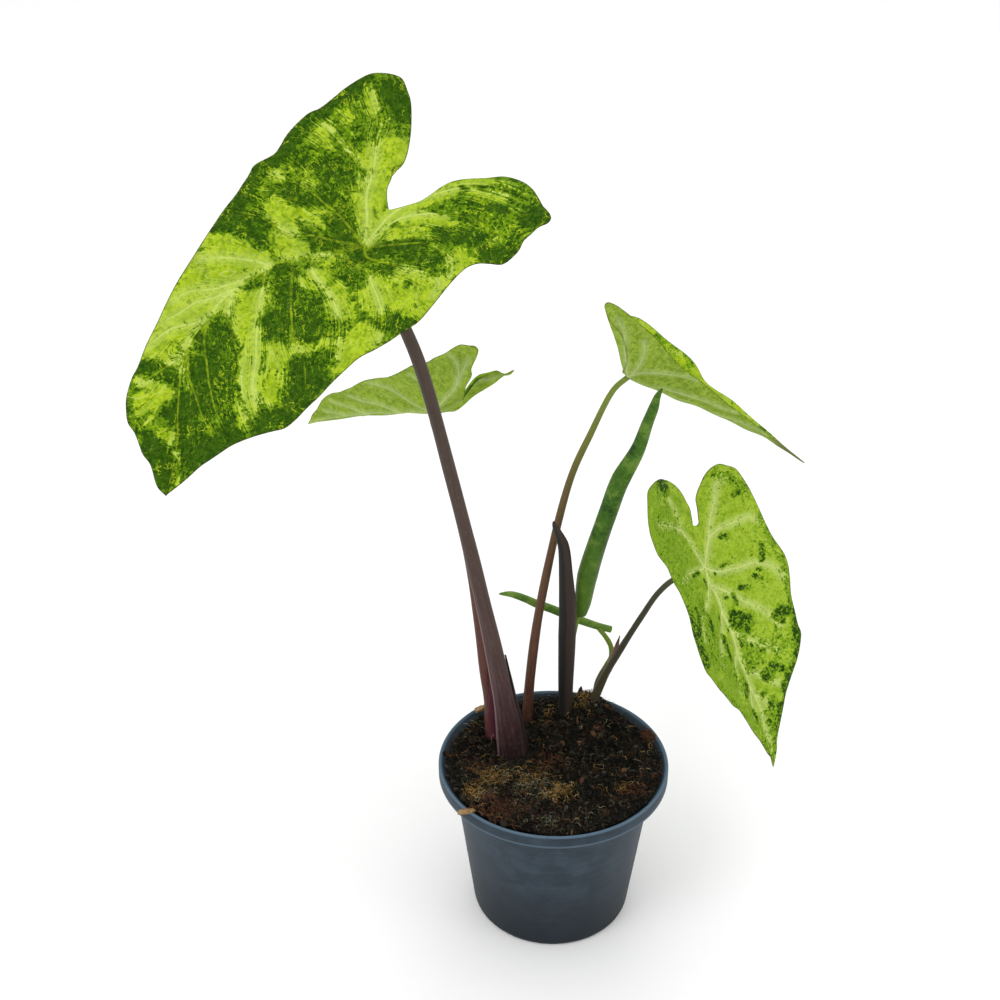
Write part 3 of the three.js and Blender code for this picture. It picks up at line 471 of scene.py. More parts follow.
            (-18, 58, -14, 64, 1.7, -0.74), (-10, 70, -8, 74, 1.5, -0.74), (12, 0, 6, 0, 1.1, -0.74),
            (5, 4, 4, 8, 0.9, -0.74), (15, -36, 14, -34, 0.8, -0.74), (14, -21, 0.6, -0.74),
            (-28, -24, 2.5, -0.35), (-7, 46, 3.3, -0.4), (-16, 51, 2.5, -0.4),
            (-8, -6, -13, 0, 3.3, 0.5), (-19, 18, -24, 22, 3.3, 0.5), (-12, 33, -16, 36, 2.5, 0.5),
            (-2, 53, -3, 55, 2.1, 0.5), (22, -22, 28, -10, 13, -0.26), (24, 0, 24, 20, 9, -0.28),
            (30, 12, 34, 32, 3.9, -0.74), (28, 46, 16, 66, 2, -0.4), (12, 60, 6, 76, 4, -0.3),
            (-31, 36, -26, 52, 3, -0.74), (-22, 56, -8, 78, 2.3, -0.74), (-28, 52, -20, 60, 4, -0.5),
            (-33, -12, -35, 14, 2.2, -0.4), (-20, -38, -31, -26, 2.4, -0.4), (20, 28, 24, 34, 5, -0.4),
            (16, 12, 18, 22, 3, -0.45), (-8, 30, -4, 26, 2.3, -0.74), (-13, 38, -20, 46, 5, -0.3),
        ],
    ),
}
BLADE_HALF = 0.3  # half the thickness
KEEL = 0.9  # height of the midrib's keel at the stalk
ARCH_PEAK = 2.116  # scales t - t^4 to a height of 1
LIFT_BEND = 3  # how gently a lifted lobe starts to rise
RIM_STEPS = 240  # points along each margin
LOBE_VEIN = 0.62  # how far out each lobe's own vein ends
LOBE_INNER, LOBE_OUTER = 0.8, 0.3  # where the rows round a lobe's tip start and end
LOBE_ROWS = (5 / 28, 9 / 28, 14 / 28)  # the shares of the rows up to there and to the shoulder
VEIN_CROWDING = 1.25  # veins stand closer together near the stalk
VEIN_BLEND = 0.6  # how softly the flow number changes between veins


def blade_frame(leaf):
    """Where a blade joins its stalk, its three directions and its length"""
    junction = np.array(leaf["junction"], float)
    midrib = np.array(leaf["tip"], float) - junction
    length = np.linalg.norm(midrib)
    midrib /= length
    level = unit(UP - midrib * midrib[2])
    roll = math.radians(leaf["roll"])
    face = level * math.cos(roll) + np.cross(midrib, level) * math.sin(roll)
    return junction, np.cross(midrib, face), midrib, face, length


def blade_height(leaf, length, x, y):
    """The fold, arch and lobes of a blade, as its solid has them, with its dents"""
    fold, drop, lift = (np.where(x > 0, *leaf[key]) for key in ("fold", "drop", "lift"))
    t = y / length
    relax = np.where(lift > 0.5, 1 - ease(-y, 0, 25), 1)
    crease = np.tan(np.radians(fold)) * relax * (np.hypot(x, leaf["crease"]) - leaf["crease"])
    lifted = lift * ease(np.abs(x), 0, 6) * (np.hypot(y, LIFT_BEND) - LIFT_BEND)
    for cx, cy, wide, long, height in leaf["dents"]:
        crease = crease + height * np.exp(-(((x - cx) / wide) ** 2) - ((y - cy) / long) ** 2)
    return crease + np.where(t > 0, leaf["arch"] * ARCH_PEAK * (t - t**4), lifted - drop * t * t)


def blade_point(margin, length, u, v):
    """Point u round one half of a blade and v from its veins to its margin, and how far round"""
    rim = smooth_path(margin, RIM_STEPS)
    lobe = int(np.argmin(rim[:, 1]))
    shoulder = lobe + int(np.argmax(rim[lobe:, 1] >= 0.02 * length))
    vein = rim[lobe] * LOBE_VEIN
    inner, outer = lobe * LOBE_INNER, lobe + (shoulder - lobe) * LOBE_OUTER
    a, b, c = LOBE_ROWS
    station = np.interp(u, [0, a, b, c, 1], [0, inner, outer, shoulder, RIM_STEPS])
    share = np.interp(u, [0, a, b, c], [0, 1, 1, 0])
    foot_x = share * vein[0]
    foot_y = share * vein[1] + length * np.clip((u - c) / (1 - c), 0, 1) ** VEIN_CROWDING
    rim_x, rim_y = (np.interp(station, np.arange(RIM_STEPS + 1), axis) for axis in rim.T[:2])
    return foot_x + (rim_x - foot_x) * v, foot_y + (rim_y - foot_y) * v, station / RIM_STEPS


def distance_to(path, x, y):
    """Distance to a line, which side of it a point lies on, and how far along the nearest place is"""
    best = np.full(x.shape, 1e9)
    side = np.ones(x.shape)
    reach = np.zeros(x.shape)
    for i, ((ax, ay), (bx, by)) in enumerate(zip(path, path[1:])):
        dx, dy = bx - ax, by - ay
        t = np.clip(((x - ax) * dx + (y - ay) * dy) / (dx * dx + dy * dy), 0, 1)
        ex, ey = x - ax - t * dx, y - ay - t * dy
        d = np.hypot(ex, ey)
        nearer = d < best
        best = np.where(nearer, d, best)
        side = np.where(nearer, np.sign(dx * ey - dy * ex), side)
        reach = np.where(nearer, (i + t) / (len(path) - 1), reach)
    return best, side, reach


def vein_map(leaf, x, y):
    """Nearest vein's distance, side and half width, the midrib's distance, and a number that keeps
    its value along each vein, so that streaks follow the veins."""
    nearest = np.full(x.shape, 1e9)
    side = np.ones(x.shape)
    half = np.zeros(x.shape)
    total = np.zeros(x.shape)
    weights = np.zeros(x.shape)
    size = math.sqrt(np.ptp(x) * np.ptp(y)) / 100
    for index, vein in enumerate(leaf["veins"]):
        main = vein == "midrib"
        path = smooth_path(leaf["midrib"] if main else vein, 40 if main else 16)
        d, s, reach = distance_to(path, x, y)
        if main:
            midrib = d
        width = size * ((0.5 if main else 0.34) * (1 - reach) + 0.14)
        nearer = d < nearest
        nearest = np.where(nearer, d, nearest)
        side = np.where(nearer, s, side)
        half = np.where(nearer, width, half)
        weight = 1 / (d * d + VEIN_BLEND)
        total += weight * index
        weights += weight
    return nearest, side, half, midrib, total / weights


def splash_map(leaf, x, y):
    """The weight of the light and dark splashes at each point"""
    light = np.zeros(x.shape)
    dark = np.zeros(x.shape)
    for *ends, half, weight in leaf["splashes"]:
        (ax, ay), (bx, by) = ends[:2], ends[-2:]
        dx, dy = bx - ax, by - ay
        t = np.clip(((x - ax) * dx + (y - ay) * dy) / max(dx * dx + dy * dy, 1e-6), 0, 1)
        d = np.hypot(x - ax - t * dx, y - ay - t * dy)
        amount = abs(weight) * (1 - ease(d / half, 0.5, 1.7))
        if weight > 0:
            light = np.maximum(light, amount)
        else:
            dark = np.maximum(dark, amount)
    return light - dark


def blade(name, rows, columns, material):
    """A closed blade: two faces on each side of the midrib, thin at the margin, ribbed below"""
    leaf = LEAVES[name]
    junction, right, midrib, face, length = blade_frame(leaf)
    mesh, u, v, layer = sheet(name + "_blade", rows, columns, 4)
    layer = np.round(layer).astype(int)
    upper, is_right = layer % 2 == 1, layer < 2
    x, y, station = np.empty_like(u), np.empty_like(u), np.empty_like(u)
    edge = np.zeros_like(u)
    for half, key in ((is_right, "right"), (~is_right, "left")):
        x[half], y[half], station[half] = blade_point(leaf[key], length, u[half], v[half])
        rim = smooth_path(leaf[key], RIM_STEPS // 2)[:, :2]
        edge[half] = distance_to(rim, x[half], y[half])[0]
    edge[v > 0.9999] = 0
    near, side, half_width, mid, flow = vein_map(leaf, x, y)
    wave = leaf["wave"] * v**3 * np.sin(np.pi * station)
    wave *= np.sin(10 * np.pi * station + np.where(is_right, 1, -1))
    size = length / 100
    quilt = 0.9 * size * (1 - np.exp(-((near / (3.4 * size)) ** 2))) * ease(edge, 0, 4) - 0.35 * size
    valley = leaf["valley"] * np.exp(-((mid / (7 * size)) ** 2)) * ease(edge, 0, 8)
    ripple = 0.22 * (np.sin(x * 0.43 + y * 0.21) + np.sin(y * 0.37 - x * 0.19 + 2))
    base = blade_height(leaf, length, x, y)
    z = base + wave + quilt - valley + ripple * ease(edge, 0, 5)
    slope_x = (blade_height(leaf, length, x + 0.2, y) - blade_height(leaf, length, x - 0.2, y)) / 0.4
    slope_y = (blade_height(leaf, length, x, y + 0.2) - blade_height(leaf, length, x, y - 0.2)) / 0.4
    steep = np.sqrt(1 + slope_x**2 + slope_y**2)
    body = np.sqrt(1 - (1 - np.clip(edge / 1.1, 0, 1)) ** 2)
    keel = KEEL * (1 - 0.75 * ease(y, 0, length)) * np.exp(-((mid / 1.3) ** 2)) * ease(y, -3, 0)
    rib = 0.3 * size * np.exp(-((near / (half_width + 0.35)) ** 2))
    offset = np.where(upper, BLADE_HALF - 0.15 * np.exp(-((near / 0.6) ** 2)), -BLADE_HALF - keel - rib)
    offset = offset * body
    x3, y3 = x - slope_x / steep * offset, y - slope_y / steep * offset
    z3 = z + offset / steep
    points = junction + x3[:, None] * right + y3[:, None] * midrib + z3[:, None] * face
    note(mesh, "blade", x, y, upper)
    note(mesh, "rib", side * near, near, half_width)
    note(mesh, "mark", splash_map(leaf, x, y), edge)
    note(mesh, "flow", flow, np.hypot(x, y))
    finish_piece(mesh, points, material, [name])


def splashed_leaf(name, dark, middle, lime, vein, under, under_vein, bias, strength, jumble=1.2,
                  streaky=1.5, grit=0.08, tint=0.0, wash=0.35, glow=0.28, broad=0.0, shine=0.5,
                  dry_tip=(500, 501), fine=0.9, squiggle=0.0):
    """Upper face splashed in three greens along the veins, pale ribbed underside, thin dark margin

    One field decides between dark, middle and lime: bias lifts it all, strength is the weight of the
    blade's own splashes, jumble of round noise, streaky of noise along the veins, broad of wide
    patches, fine of dashes and grit of specks. squiggle is the weight of thin lime curls in the
    dark. In the lime, wash is the share of greener patches, tint turns one half of the blade
    greener, glow is a halo by the veins and shine a pale streak. dry_tip is where along the blade
    it turns brown.
    """
    paint = Paint(name, Specular_IOR_Level=0.02)
    px, py, upper = paint.parts(paint.noted("blade"))
    signed, near, half = paint.parts(paint.noted("rib"))
    splash, edge, _ = paint.parts(paint.noted("mark"))
    flow, reach, _ = paint.parts(paint.noted("flow"))
    flat = paint.point(px, py)
    run = paint.point(flow * 8, reach * 0.08)
    jagged = paint.grain(flat, 0.3, 8, 0.7)
    streaks = paint.grain(run, 0.8, 6, 0.68)
    cell = paint.cells(flat, 1.15, output="Color") * 1  # its brightness, as one number
    shred = paint.cells(run, 1.0, output="Color") * 1
    speck = paint.grain(flat, 1.6, 3, 0.75)
    if streaky > 1:
        dash = paint.grain(paint.point(flow * 16, reach * 0.2), 1.0, 5, 0.66)
    else:
        dash = paint.grain(flat, 0.9, 4, 0.7)
    busy = paint.grain(flat, 0.09, 3, 0.6)
    field = splash * strength + (jagged - 0.5) * jumble + (streaks - 0.5) * streaky
    field = field + (cell - 0.5) * 0.32 + (shred - 0.5) * (0.2 * streaky) + bias
    field = field + (dash - 0.5) * fine + (busy - 0.5) * broad
    is_lime = paint.step(field + (speck - 0.5) * grit, 0.13, 0.18)
    is_middle = paint.step(field + (cell - 0.5) * 0.2 + (speck - 0.5) * 0.25, -0.22, -0.17)
    tone = paint.step(jagged * 0.6 + cell * 0.25 + streaks * 0.15, 0.36, 0.62)
    leaf_dark = paint.mix(tone, dark[0], dark[1])
    leaf_middle = paint.mix(paint.step(cell * 0.5 + speck * 0.5, 0.35, 0.6), middle[0], middle[1])
    leaf_lime = paint.mix(tone, lime[0], lime[1])
    cool = paint.step(paint.grain(flat, 0.13, 5, 0.62) - px * tint, 0.44, 0.62)
    leaf_lime = paint.mix(cool * wash, leaf_lime, middle[1])
    leaf_lime = paint.mix(paint.step(streaks, 0.54, 0.64) * shine, leaf_lime, vein)
    colour = paint.mix(is_middle, leaf_dark, leaf_middle)
    colour = paint.mix(is_lime, colour, leaf_lime)
    fleck = cell * 0.12 + speck * 0.22 + dash * 0.66 + (busy - 0.5) * 0.3
    fleck = paint.step(fleck - (1 - paint.step(edge, 2, 9)) * 0.05, 0.545, 0.58)
    colour = paint.mix(fleck * (1 - is_middle) * 0.85, colour, middle[1])
    colour = paint.mix(fleck * is_middle * (1 - is_lime) * 0.6, colour, lime[0])
    curly = paint.grain(flat, 0.14, 5, 0.56)
    curly = 1 - paint.step(paint.size(curly - 0.5), 0.006, 0.014)
    curly = curly * paint.step(streaks, 0.46, 0.52) * paint.step(busy, 0.42, 0.54) * (1 - is_lime)
    colour = paint.mix(curly * squiggle, colour, lime[1])
    hole = paint.step(1 - cell * 0.2 - speck * 0.25 - dash * 0.55, 0.57, 0.61)
    hole = hole * paint.step(busy, 0.44, 0.56)
    colour = paint.mix(hole * is_lime * 0.75, colour, dark[1])
    colour = paint.mix(hole * is_middle * (1 - is_lime) * 0.6, colour, dark[0])
    line = (1 - paint.step(paint.size(signed) / half, 0.45, 1.25)) * (1 - paint.step(near, 1.2, 1.8))
    broken = paint.step(streaks * 0.5 + jagged * 0.5, 0.42, 0.55)
    colour = paint.mix(line * (1 - is_lime) * (broken * 0.4 + 0.05), colour, lime[1])
    colour = paint.mix(line * is_lime * (broken * 0.3 + 0.45), colour, vein)
    halo = (1 - paint.step(near, 0.4, 3.4)) * is_lime * glow
    colour = paint.mix(halo, colour, vein)
    net = 1 - paint.step(paint.cells(flat, 0.62, "DISTANCE_TO_EDGE"), 0.0, 0.07)
    colour = paint.mix(net * (is_lime * 0.16 + 0.06), colour, vein)
    pale = paint.mix(paint.step(jagged, 0.35, 0.65), under[0], under[1])
    pale = paint.mix(paint.step(1 - streaks * 0.6 - cell * 0.4, 0.52, 0.6) * 0.45, pale, under[2])
    pale = paint.mix((1 - paint.step(field, -0.25, 0.1)) * 0.45, pale, under[2])
    pale = paint.mix((1 - paint.step(near, 0.3, 2.6)) * 0.3 + line * 0.45, pale, under_vein)
    pale = paint.mix(net * 0.2, pale, under_vein)
    above = paint.step(upper, 0.4, 0.6)
    colour = paint.mix(above, pale, colour)
    rim = 1 - paint.step(edge + (speck - 0.5) * 0.3, 0.12, 0.5)
    colour = paint.mix(rim * (above * 0.3 + 0.35), colour, (58, 50, 34))
    colour = paint.mix(paint.step(py, *dry_tip) * 0.8, colour, (104, 104, 70))
    paint.drive("Base Color", colour)
    paint.bump((1 - line) * 0.4 + jagged * 0.4 - net * 0.2 + speck * 0.15, 0.4, 0.7)
    paint.drive("Roughness", 0.44 + jagged * 0.2)
    return paint.material


# Stalks, sheaths and rolled leaves


def ring_frame(path, facing):
    """The direction that faces forwards and the one to its side, at each point of a path"""
    tangent = np.gradient(path, axis=0)
    tangent /= np.linalg.norm(tangent, axis=1)[:, None]
    facing = np.asarray(facing, float)
    front = facing - tangent * (tangent @ facing)[:, None]
    front /= np.linalg.norm(front, axis=1)[:, None]
    return front, np.cross(tangent, front)


PATH_STEPS = 400


def on_path(points, facing, u, forwards, sideways):
    """Points set off from a path, forwards and sideways, at each station u from 0 to 1"""
    path = smooth_path(points, PATH_STEPS)
    front, side = ring_frame(path, facing)

    def read(field):
        steps = np.arange(PATH_STEPS + 1)
        return np.stack([np.interp(u * PATH_STEPS, steps, c) for c in field.T], 1)

    return read(path) + read(front) * forwards[:, None] + read(side) * sideways[:, None]


def stalk(name, points, radii, material, nodes, slot, rows=120, columns=28, ribs=()):
    """A stalk; each rib is an angle, a half width in degrees, a height, and where it fades out"""
    mesh, u, v, _ = sheet(name, rows, columns)
    angle = 2 * np.pi * v
    radius = along(radii, u)
    for turn, width, height, top in ribs:
        away = (np.degrees(angle) - turn + 180) % 360 - 180
        radius = radius + height * np.exp(-((away / width) ** 2)) * (1 - ease(u, top * 0.4, top))
    radius = radius + 0.06 * np.sin(u * 37 + 2 * angle) * radius / 3
    points3 = on_path(points, (0, -1, 0), u, radius * np.cos(angle), radius * np.sin(angle))
    note(mesh, "stem", np.cos(angle), np.sin(angle), u)
    finish_piece(mesh, points3, material, nodes, fill_ends=True)


def curl(name, spec, material, nodes, rows, columns, crumple):
    """A sheet curled round a path; it opens at the back, and an inner edge lies under an outer one"""
    mesh, u, v, _ = sheet(name, rows, columns)
    across = 1 - 2 * np.abs(2 * v - 1)
    outer = np.where(v < 0.5, 1.0, -1.0) * np.sqrt(np.clip((1 - np.abs(across)) / 0.04, 0, 1))
    radius = along(spec["radii"], u)
    half = along(spec["half_widths"], u)
    angle = across * half / radius
    arc = across * half
    wrinkle = crumple * (np.sin(arc * 1.3 + u * 9) + 0.6 * np.sin(arc * 0.7 - u * 23))
    reach = radius + spec["pitch"] * angle / (2 * np.pi) + outer * spec["wall"] / 2 + wrinkle
    points = on_path(spec["points"], spec["facing"], u, reach * np.cos(angle), reach * np.sin(angle))
    length = float(np.linalg.norm(np.diff(smooth_path(spec["points"], 60), axis=0), axis=1).sum())
    note(mesh, "curl", arc, u * length, outer)
    note(mesh, "wrap", across, u, angle)
    finish_piece(mesh, points, material, nodes, fill_ends=True)


def stem_paint(name, stops, stripe, stripe_share, pale_edge=None):
    """Fine lengthwise streaks and mottle over a colour that changes from the base up"""
    paint = Paint(name, Specular_IOR_Level=0.2)
    cx, cy, u = paint.parts(paint.noted("stem"))
    lengthwise = paint.grain(paint.point(cx * 9, cy * 9, u * 14), 1.0, 4, 0.65)
    mottle = paint.grain(paint.place(), 620, 4, 0.65)
    colour = paint.ramp(u + (lengthwise - 0.5) * 0.12, *stops)
    colour = paint.mix(paint.step(lengthwise, 0.48, 0.7) * stripe_share, colour, stripe)
    colour = paint.mix(paint.step(1 - lengthwise, 0.5, 0.72) * 0.5, colour, (38, 26, 28))
    colour = paint.mix(paint.step(mottle, 0.5, 0.7) * 0.25, colour, stripe)
    if pale_edge:
        turn, width, tint, top = pale_edge
        facing = cx * math.cos(math.radians(turn)) + cy * math.sin(math.radians(turn))
        band = paint.step(facing + (mottle - 0.5) * 0.03, math.cos(math.radians(width)), 1.0)
        colour = paint.mix(band * (1 - paint.step(u, top * 0.7, top)) * 0.8, colour, tint)
    paint.drive("Base Color", colour)
    paint.drive("Roughness", 0.42 + mottle * 0.2)
    paint.bump(lengthwise * 0.7 + mottle * 0.3, 0.25, 0.6)
    return paint.material


def rolled_paint(name, dark, middle, light, inner, bias):
    """Rolled blade: mottled greens, faint ladder veins across the roll, a light inner face"""
    paint = Paint(name, Specular_IOR_Level=0.2)
    arc, length, outer = paint.parts(paint.noted("curl"))
    across, u, _ = paint.parts(paint.noted("wrap"))
    flat = paint.point(arc, length)
    patches = paint.grain(flat, 0.09, 5, 0.62)
    mottle = paint.grain(flat, 0.5, 5, 0.7)
    ladder = paint.point(arc * 0.16 + length * 0.3, length * 0.05 - arc * 0.04)
    veins = paint.grain(ladder, 1.4, 2, 0.5)
    field = patches + (mottle - 0.5) * 0.35 + bias
    colour = paint.mix(paint.step(field, 0.4, 0.52), dark, middle)
    colour = paint.mix(paint.step(field, 0.56, 0.66) * 0.8, colour, light)
    colour = paint.mix((1 - paint.step(paint.size(veins - 0.5), 0.0, 0.03)) * 0.3, colour, light)
    colour = paint.mix((1 - paint.step(u, 0.05, 0.5)) * 0.45, colour, light)
    colour = paint.mix(paint.step(paint.size(across), 0.94, 1.0) * 0.5, colour, (50, 56, 30))
    colour = paint.mix((1 - paint.step(outer, -0.6, 0.2)) * 0.9, colour, inner)
    paint.drive("Base Color", colour)
    paint.drive("Roughness", 0.4 + mottle * 0.2)
    paint.bump(mottle * 0.5 + patches * 0.4, 0.4, 0.5)
    return paint.material


def sheath_paint(name, left, right, tip, split=0.0):
    """Dry dark sheath with fine lengthwise lines, cooler on one side"""
    paint = Paint(name, Specular_IOR_Level=0.16)
    arc, length, _ = paint.parts(paint.noted("curl"))
    across, u, _ = paint.parts(paint.noted("wrap"))
    lines = paint.grain(paint.point(arc * 2.4, length * 0.05), 1.0, 4, 0.6)
    mottle = paint.grain(paint.point(arc, length), 0.8, 4, 0.65)
    turned = paint.step(across + (lines - 0.5) * 0.12, split - 0.06, split + 0.06)
    colour = paint.mix(turned, left, right)
    colour = paint.mix(paint.step(lines, 0.52, 0.7) * 0.35, colour, tip)
    colour = paint.mix(paint.step(mottle, 0.52, 0.7) * 0.2, colour, tip)
    colour = paint.mix(paint.step(u, 0.9, 1.0) * 0.4, colour, tip)
    paint.drive("Base Color", colour)
    paint.drive("Roughness", 0.5 + mottle * 0.15)
    paint.bump(lines * 0.8 + mottle * 0.2, 0.2, 0.6)
    return paint.material


# Pot and potting mix

POT_PROFILE = [
    (0, 0), (34.2, 0), (36.1, 0.5), (36.8, 2.4), (44.7, 65.6), (45.22, 66), (46.2, 73.5), (49.4, 76.4),
    (50.9, 77), (51.5, 76.4), (51.5, 73.7), (52.5, 73.7), (52.5, 79.2), (52.2, 79.8), (51.8, 80),
    (51.3, 79.8), (50.5, 78.8), (48.6, 77.2), (45.1, 73.5), (44.1, 65.8), (35.7, 3), (34.3, 1.4),
    (0, 1.4),
]
DRAIN_HOLES = dict(count=8, circle=25, radius=4, depth=8)
# Heights in metres: painted highlights on the lip and the skirt, a painted shade line round the wall,
# and the top of the foot's painted shade and dust
LIP_LINE, SKIRT_LINE, BODY_LINE, FOOT_SHADE_AND_DUST = 0.0788, 0.0742, 0.0685, 0.056


def pot(material):
    """The pot's wall, spun from its rounded profile, with drain holes cut through its base"""
    bm = bmesh.new()
    rounded = []
    for before, here, after in zip(POT_PROFILE, POT_PROFILE[1:], POT_PROFILE[2:]):
        here = np.array(here, float)
        back, ahead = np.array(before) - here, np.array(after) - here
        cut = min(0.35, np.linalg.norm(back) / 3, np.linalg.norm(ahead) / 3)
        start, end = here + unit(back) * cut, here + unit(ahead) * cut
        rounded += [start, (start + end + 2 * here) / 4, end]
    profile = [POT_PROFILE[0], *rounded, POT_PROFILE[-1]]
    verts = [bm.verts.new((r * MM, 0, z * MM)) for r, z in profile]
    edges = [bm.edges.new(pair) for pair in zip(verts, verts[1:])]
    bmesh.ops.spin(bm, geom=verts + edges, cent=(0, 0, 0), axis=(0, 0, 1), angle=2 * math.pi,
                   steps=160, use_merge=True)
    bmesh.ops.remove_doubles(bm, verts=bm.verts, dist=1e-6)
    bmesh.ops.recalc_face_normals(bm, faces=bm.faces)
    mesh = bpy.data.meshes.new("pot_shell")
    bm.to_mesh(mesh)
    bm.free()
    piece = dress(mesh, material, ["pot"])
    cutter_bm = bmesh.new()
    circle, radius = DRAIN_HOLES["circle"] * MM, DRAIN_HOLES["radius"] * MM
    for i in range(DRAIN_HOLES["count"]):
        turn = 2 * math.pi * i / DRAIN_HOLES["count"]
        place = Matrix.Translation((circle * math.cos(turn), circle * math.sin(turn), 0))
        bmesh.ops.create_cone(cutter_bm, cap_ends=True, segments=24, radius1=radius, radius2=radius,
                              depth=DRAIN_HOLES["depth"] * MM, matrix=place)
    cutter_mesh = bpy.data.meshes.new("drain_holes")
    cutter_bm.to_mesh(cutter_mesh)
    cutter_bm.free()
    cutter = bpy.data.objects.new("drain_holes", cutter_mesh)
    bpy.context.scene.collection.objects.link(cutter)
    holes = piece.modifiers.new("drain", "BOOLEAN")
    holes.object = cutter
    holes.solver = "EXACT"
    cut = bpy.data.meshes.new_from_object(piece.evaluated_get(bpy.context.evaluated_depsgraph_get()))
    piece.modifiers.clear()
    piece.data = cut
    bpy.data.objects.remove(cutter)
    for polygon in cut.polygons:
        polygon.use_smooth = True
    cut.name = "pot_shell"


def pot_paint():
    """Slate-blue moulded plastic, dusty, with scuffs and faint flow lines round it, painted highlights
    on the lip, and painted shade in a line round the wall and, with some dust, towards the foot
    """
    paint = Paint("pot_slate_plastic", Specular_IOR_Level=0.12)
    place = paint.place()
    x, y, z = paint.parts(place)
    dust = paint.grain(place, 90, 5, 0.65)
    streaks = paint.grain(paint.point(x * 60, y * 60, z * 900), 1.0, 3, 0.55)
    colour = paint.mix(paint.step(dust, 0.35, 0.7), (42, 53, 62), (55, 67, 77))
    colour = paint.mix(paint.step(streaks, 0.5, 0.75) * 0.25, colour, (70, 84, 94))
    # Painted shade, partly dust: the pot darkens towards its foot
    colour = paint.mix((1 - paint.step(z, 0.0, FOOT_SHADE_AND_DUST)) * 0.8, colour, (24, 29, 35))
    # Painted highlights: a pale band on top of the lip and a pale line low on the skirt
    skirt_highlight = 1 - paint.step(paint.size(z - SKIRT_LINE), 0.0003, 0.0009)
    lip = paint.step(z, LIP_LINE, LIP_LINE + 0.0008) * 0.75 + skirt_highlight * 0.5
    colour = paint.mix(lip, colour, (90, 112, 130))
    # Painted shade: a dark line round the wall, the shade of a ledge
    groove_shade = 1 - paint.step(paint.size(z - BODY_LINE), 0.0002, 0.0008)
    colour = paint.mix(groove_shade * 0.35, colour, (24, 28, 33))
    specks = paint.step(paint.grain(place, 700, 2, 0.5), 0.7, 0.73)
    colour = paint.mix(specks * 0.6, colour, (18, 20, 24))
    paint.drive("Base Color", colour)
    paint.drive("Roughness", 0.42 + dust * 0.2)
    paint.bump(dust * 0.4 + streaks * 0.25, 0.12, 0.5)
    return paint.material


# The mix ends at the wall; loose bits reach a little further, and the tangle lies on the rim
MIX_EDGE, BITS_EDGE, TANGLE_EDGE = 49.4, 49.6, 50.4

LUMPS = [
    (-38, -8, 5, 2.2), (-30, -26, 6, 3), (-12, -36, 6, 2.6), (8, -38, 5, 2), (26, -30, 6, 2.6),
    (38, -12, 5, 2.4), (37, 10, 5, 2), (24, 14, 6, 3), (10, -4, 6, 2.4), (-8, -16, 6, 2),
    (-20, -8, 5, 2.4), (2, 14, 5, 2.2), (20, -12, 5, 1.8), (-36, 14, 5, 2.2), (-4, -28, 4, 1.8),
    (32, 24, 5, 2), (-26, 34, 5, 1.4),
]


def mix_height(x, y):
    """Height of the mix: heaped to the lip in front, a mound behind the shoots, and small lumps"""
    def bump(cx, cy, width, height):
        return height * np.exp(-((x - cx) ** 2 + (y - cy) ** 2) / (2 * width**2))

    far = np.hypot(x, y)
    rise = 4.2 * ease(far, 30, 49) * (1 - 0.5 * ease(y, -5, 40))
    z = 75 + rise + bump(17, 37, 7.5, 9.5) + bump(5, 24, 15, 3.5) + bump(-20, -38, 12, 1)
    for cx, cy, width, height in LUMPS:
        z = z + bump(cx, cy, width * 0.6, height * 0.8)
    return z


def potting_mix(material):
    """The mix's rough top, which turns down inside the wall and closes underneath"""
    mesh, u, v, _ = sheet("mix_bed", 112, 330)
    turn = 2 * np.pi * v
    wall = MIX_EDGE - 1.3 * ease(np.sin(turn), -0.4, 0.5)
    radius = np.interp(u, [0, 0.86, 0.94, 1], [0, 1, 0.885, 0]) * wall
    x, y = radius * np.cos(turn), radius * np.sin(turn)
    z = mix_height(x, y)
    rough = np.array([
        1.5 * noise.fractal(Vector((a * 0.16, b * 0.16, 3.0)), 0.75, 2.1, 5)
        + 0.9 * noise.noise(Vector((a * 0.7, b * 0.7, 9.0)))
        for a, b in zip(x, y)])
    z = z + rough * (1 - ease(radius, wall - 2, wall) * 0.6)
    z = np.where(u < 0.861, z, np.interp(u, [0.86, 0.94, 1], [77, 72, 72]))
    finish_piece(mesh, np.stack([x, y, z], 1), material, ["potting_mix"])


def soil_paint(name, dark, brown, rust):
    """Moist dark mix with brown lumps and rusty crumbs"""
    paint = Paint(name, Specular_IOR_Level=0.06)
    place = paint.place()
    lumps = paint.grain(place, 210, 6, 0.7)
    fine = paint.grain(place, 900, 4, 0.7)
    rusty = paint.grain(place, 60, 3, 0.6)
    colour = paint.mix(paint.step(lumps, 0.42, 0.7), dark, brown)
    rusty = paint.step(rusty, 0.56, 0.68) * paint.step(fine, 0.45, 0.6) * 0.7
    colour = paint.mix(rusty, colour, rust)
    paint.drive("Base Color", colour)
    paint.drive("Roughness", 0.8 + lumps * 0.2)
    paint.bump(lumps * 0.5 + fine * 0.5, 1.2, 1.0)
    return paint.material


def scattered(name, template, places):
    """Copies of a small shape in one mesh; the copies' points come back apart, to be laid out"""
    bm = bmesh.new()
    for _ in range(places):
        bm.from_mesh(template)
    mesh = bpy.data.meshes.new(name)
    bm.to_mesh(mesh)
    bm.free()
    return mesh, read_points(mesh).reshape(places, len(template.vertices), 3)


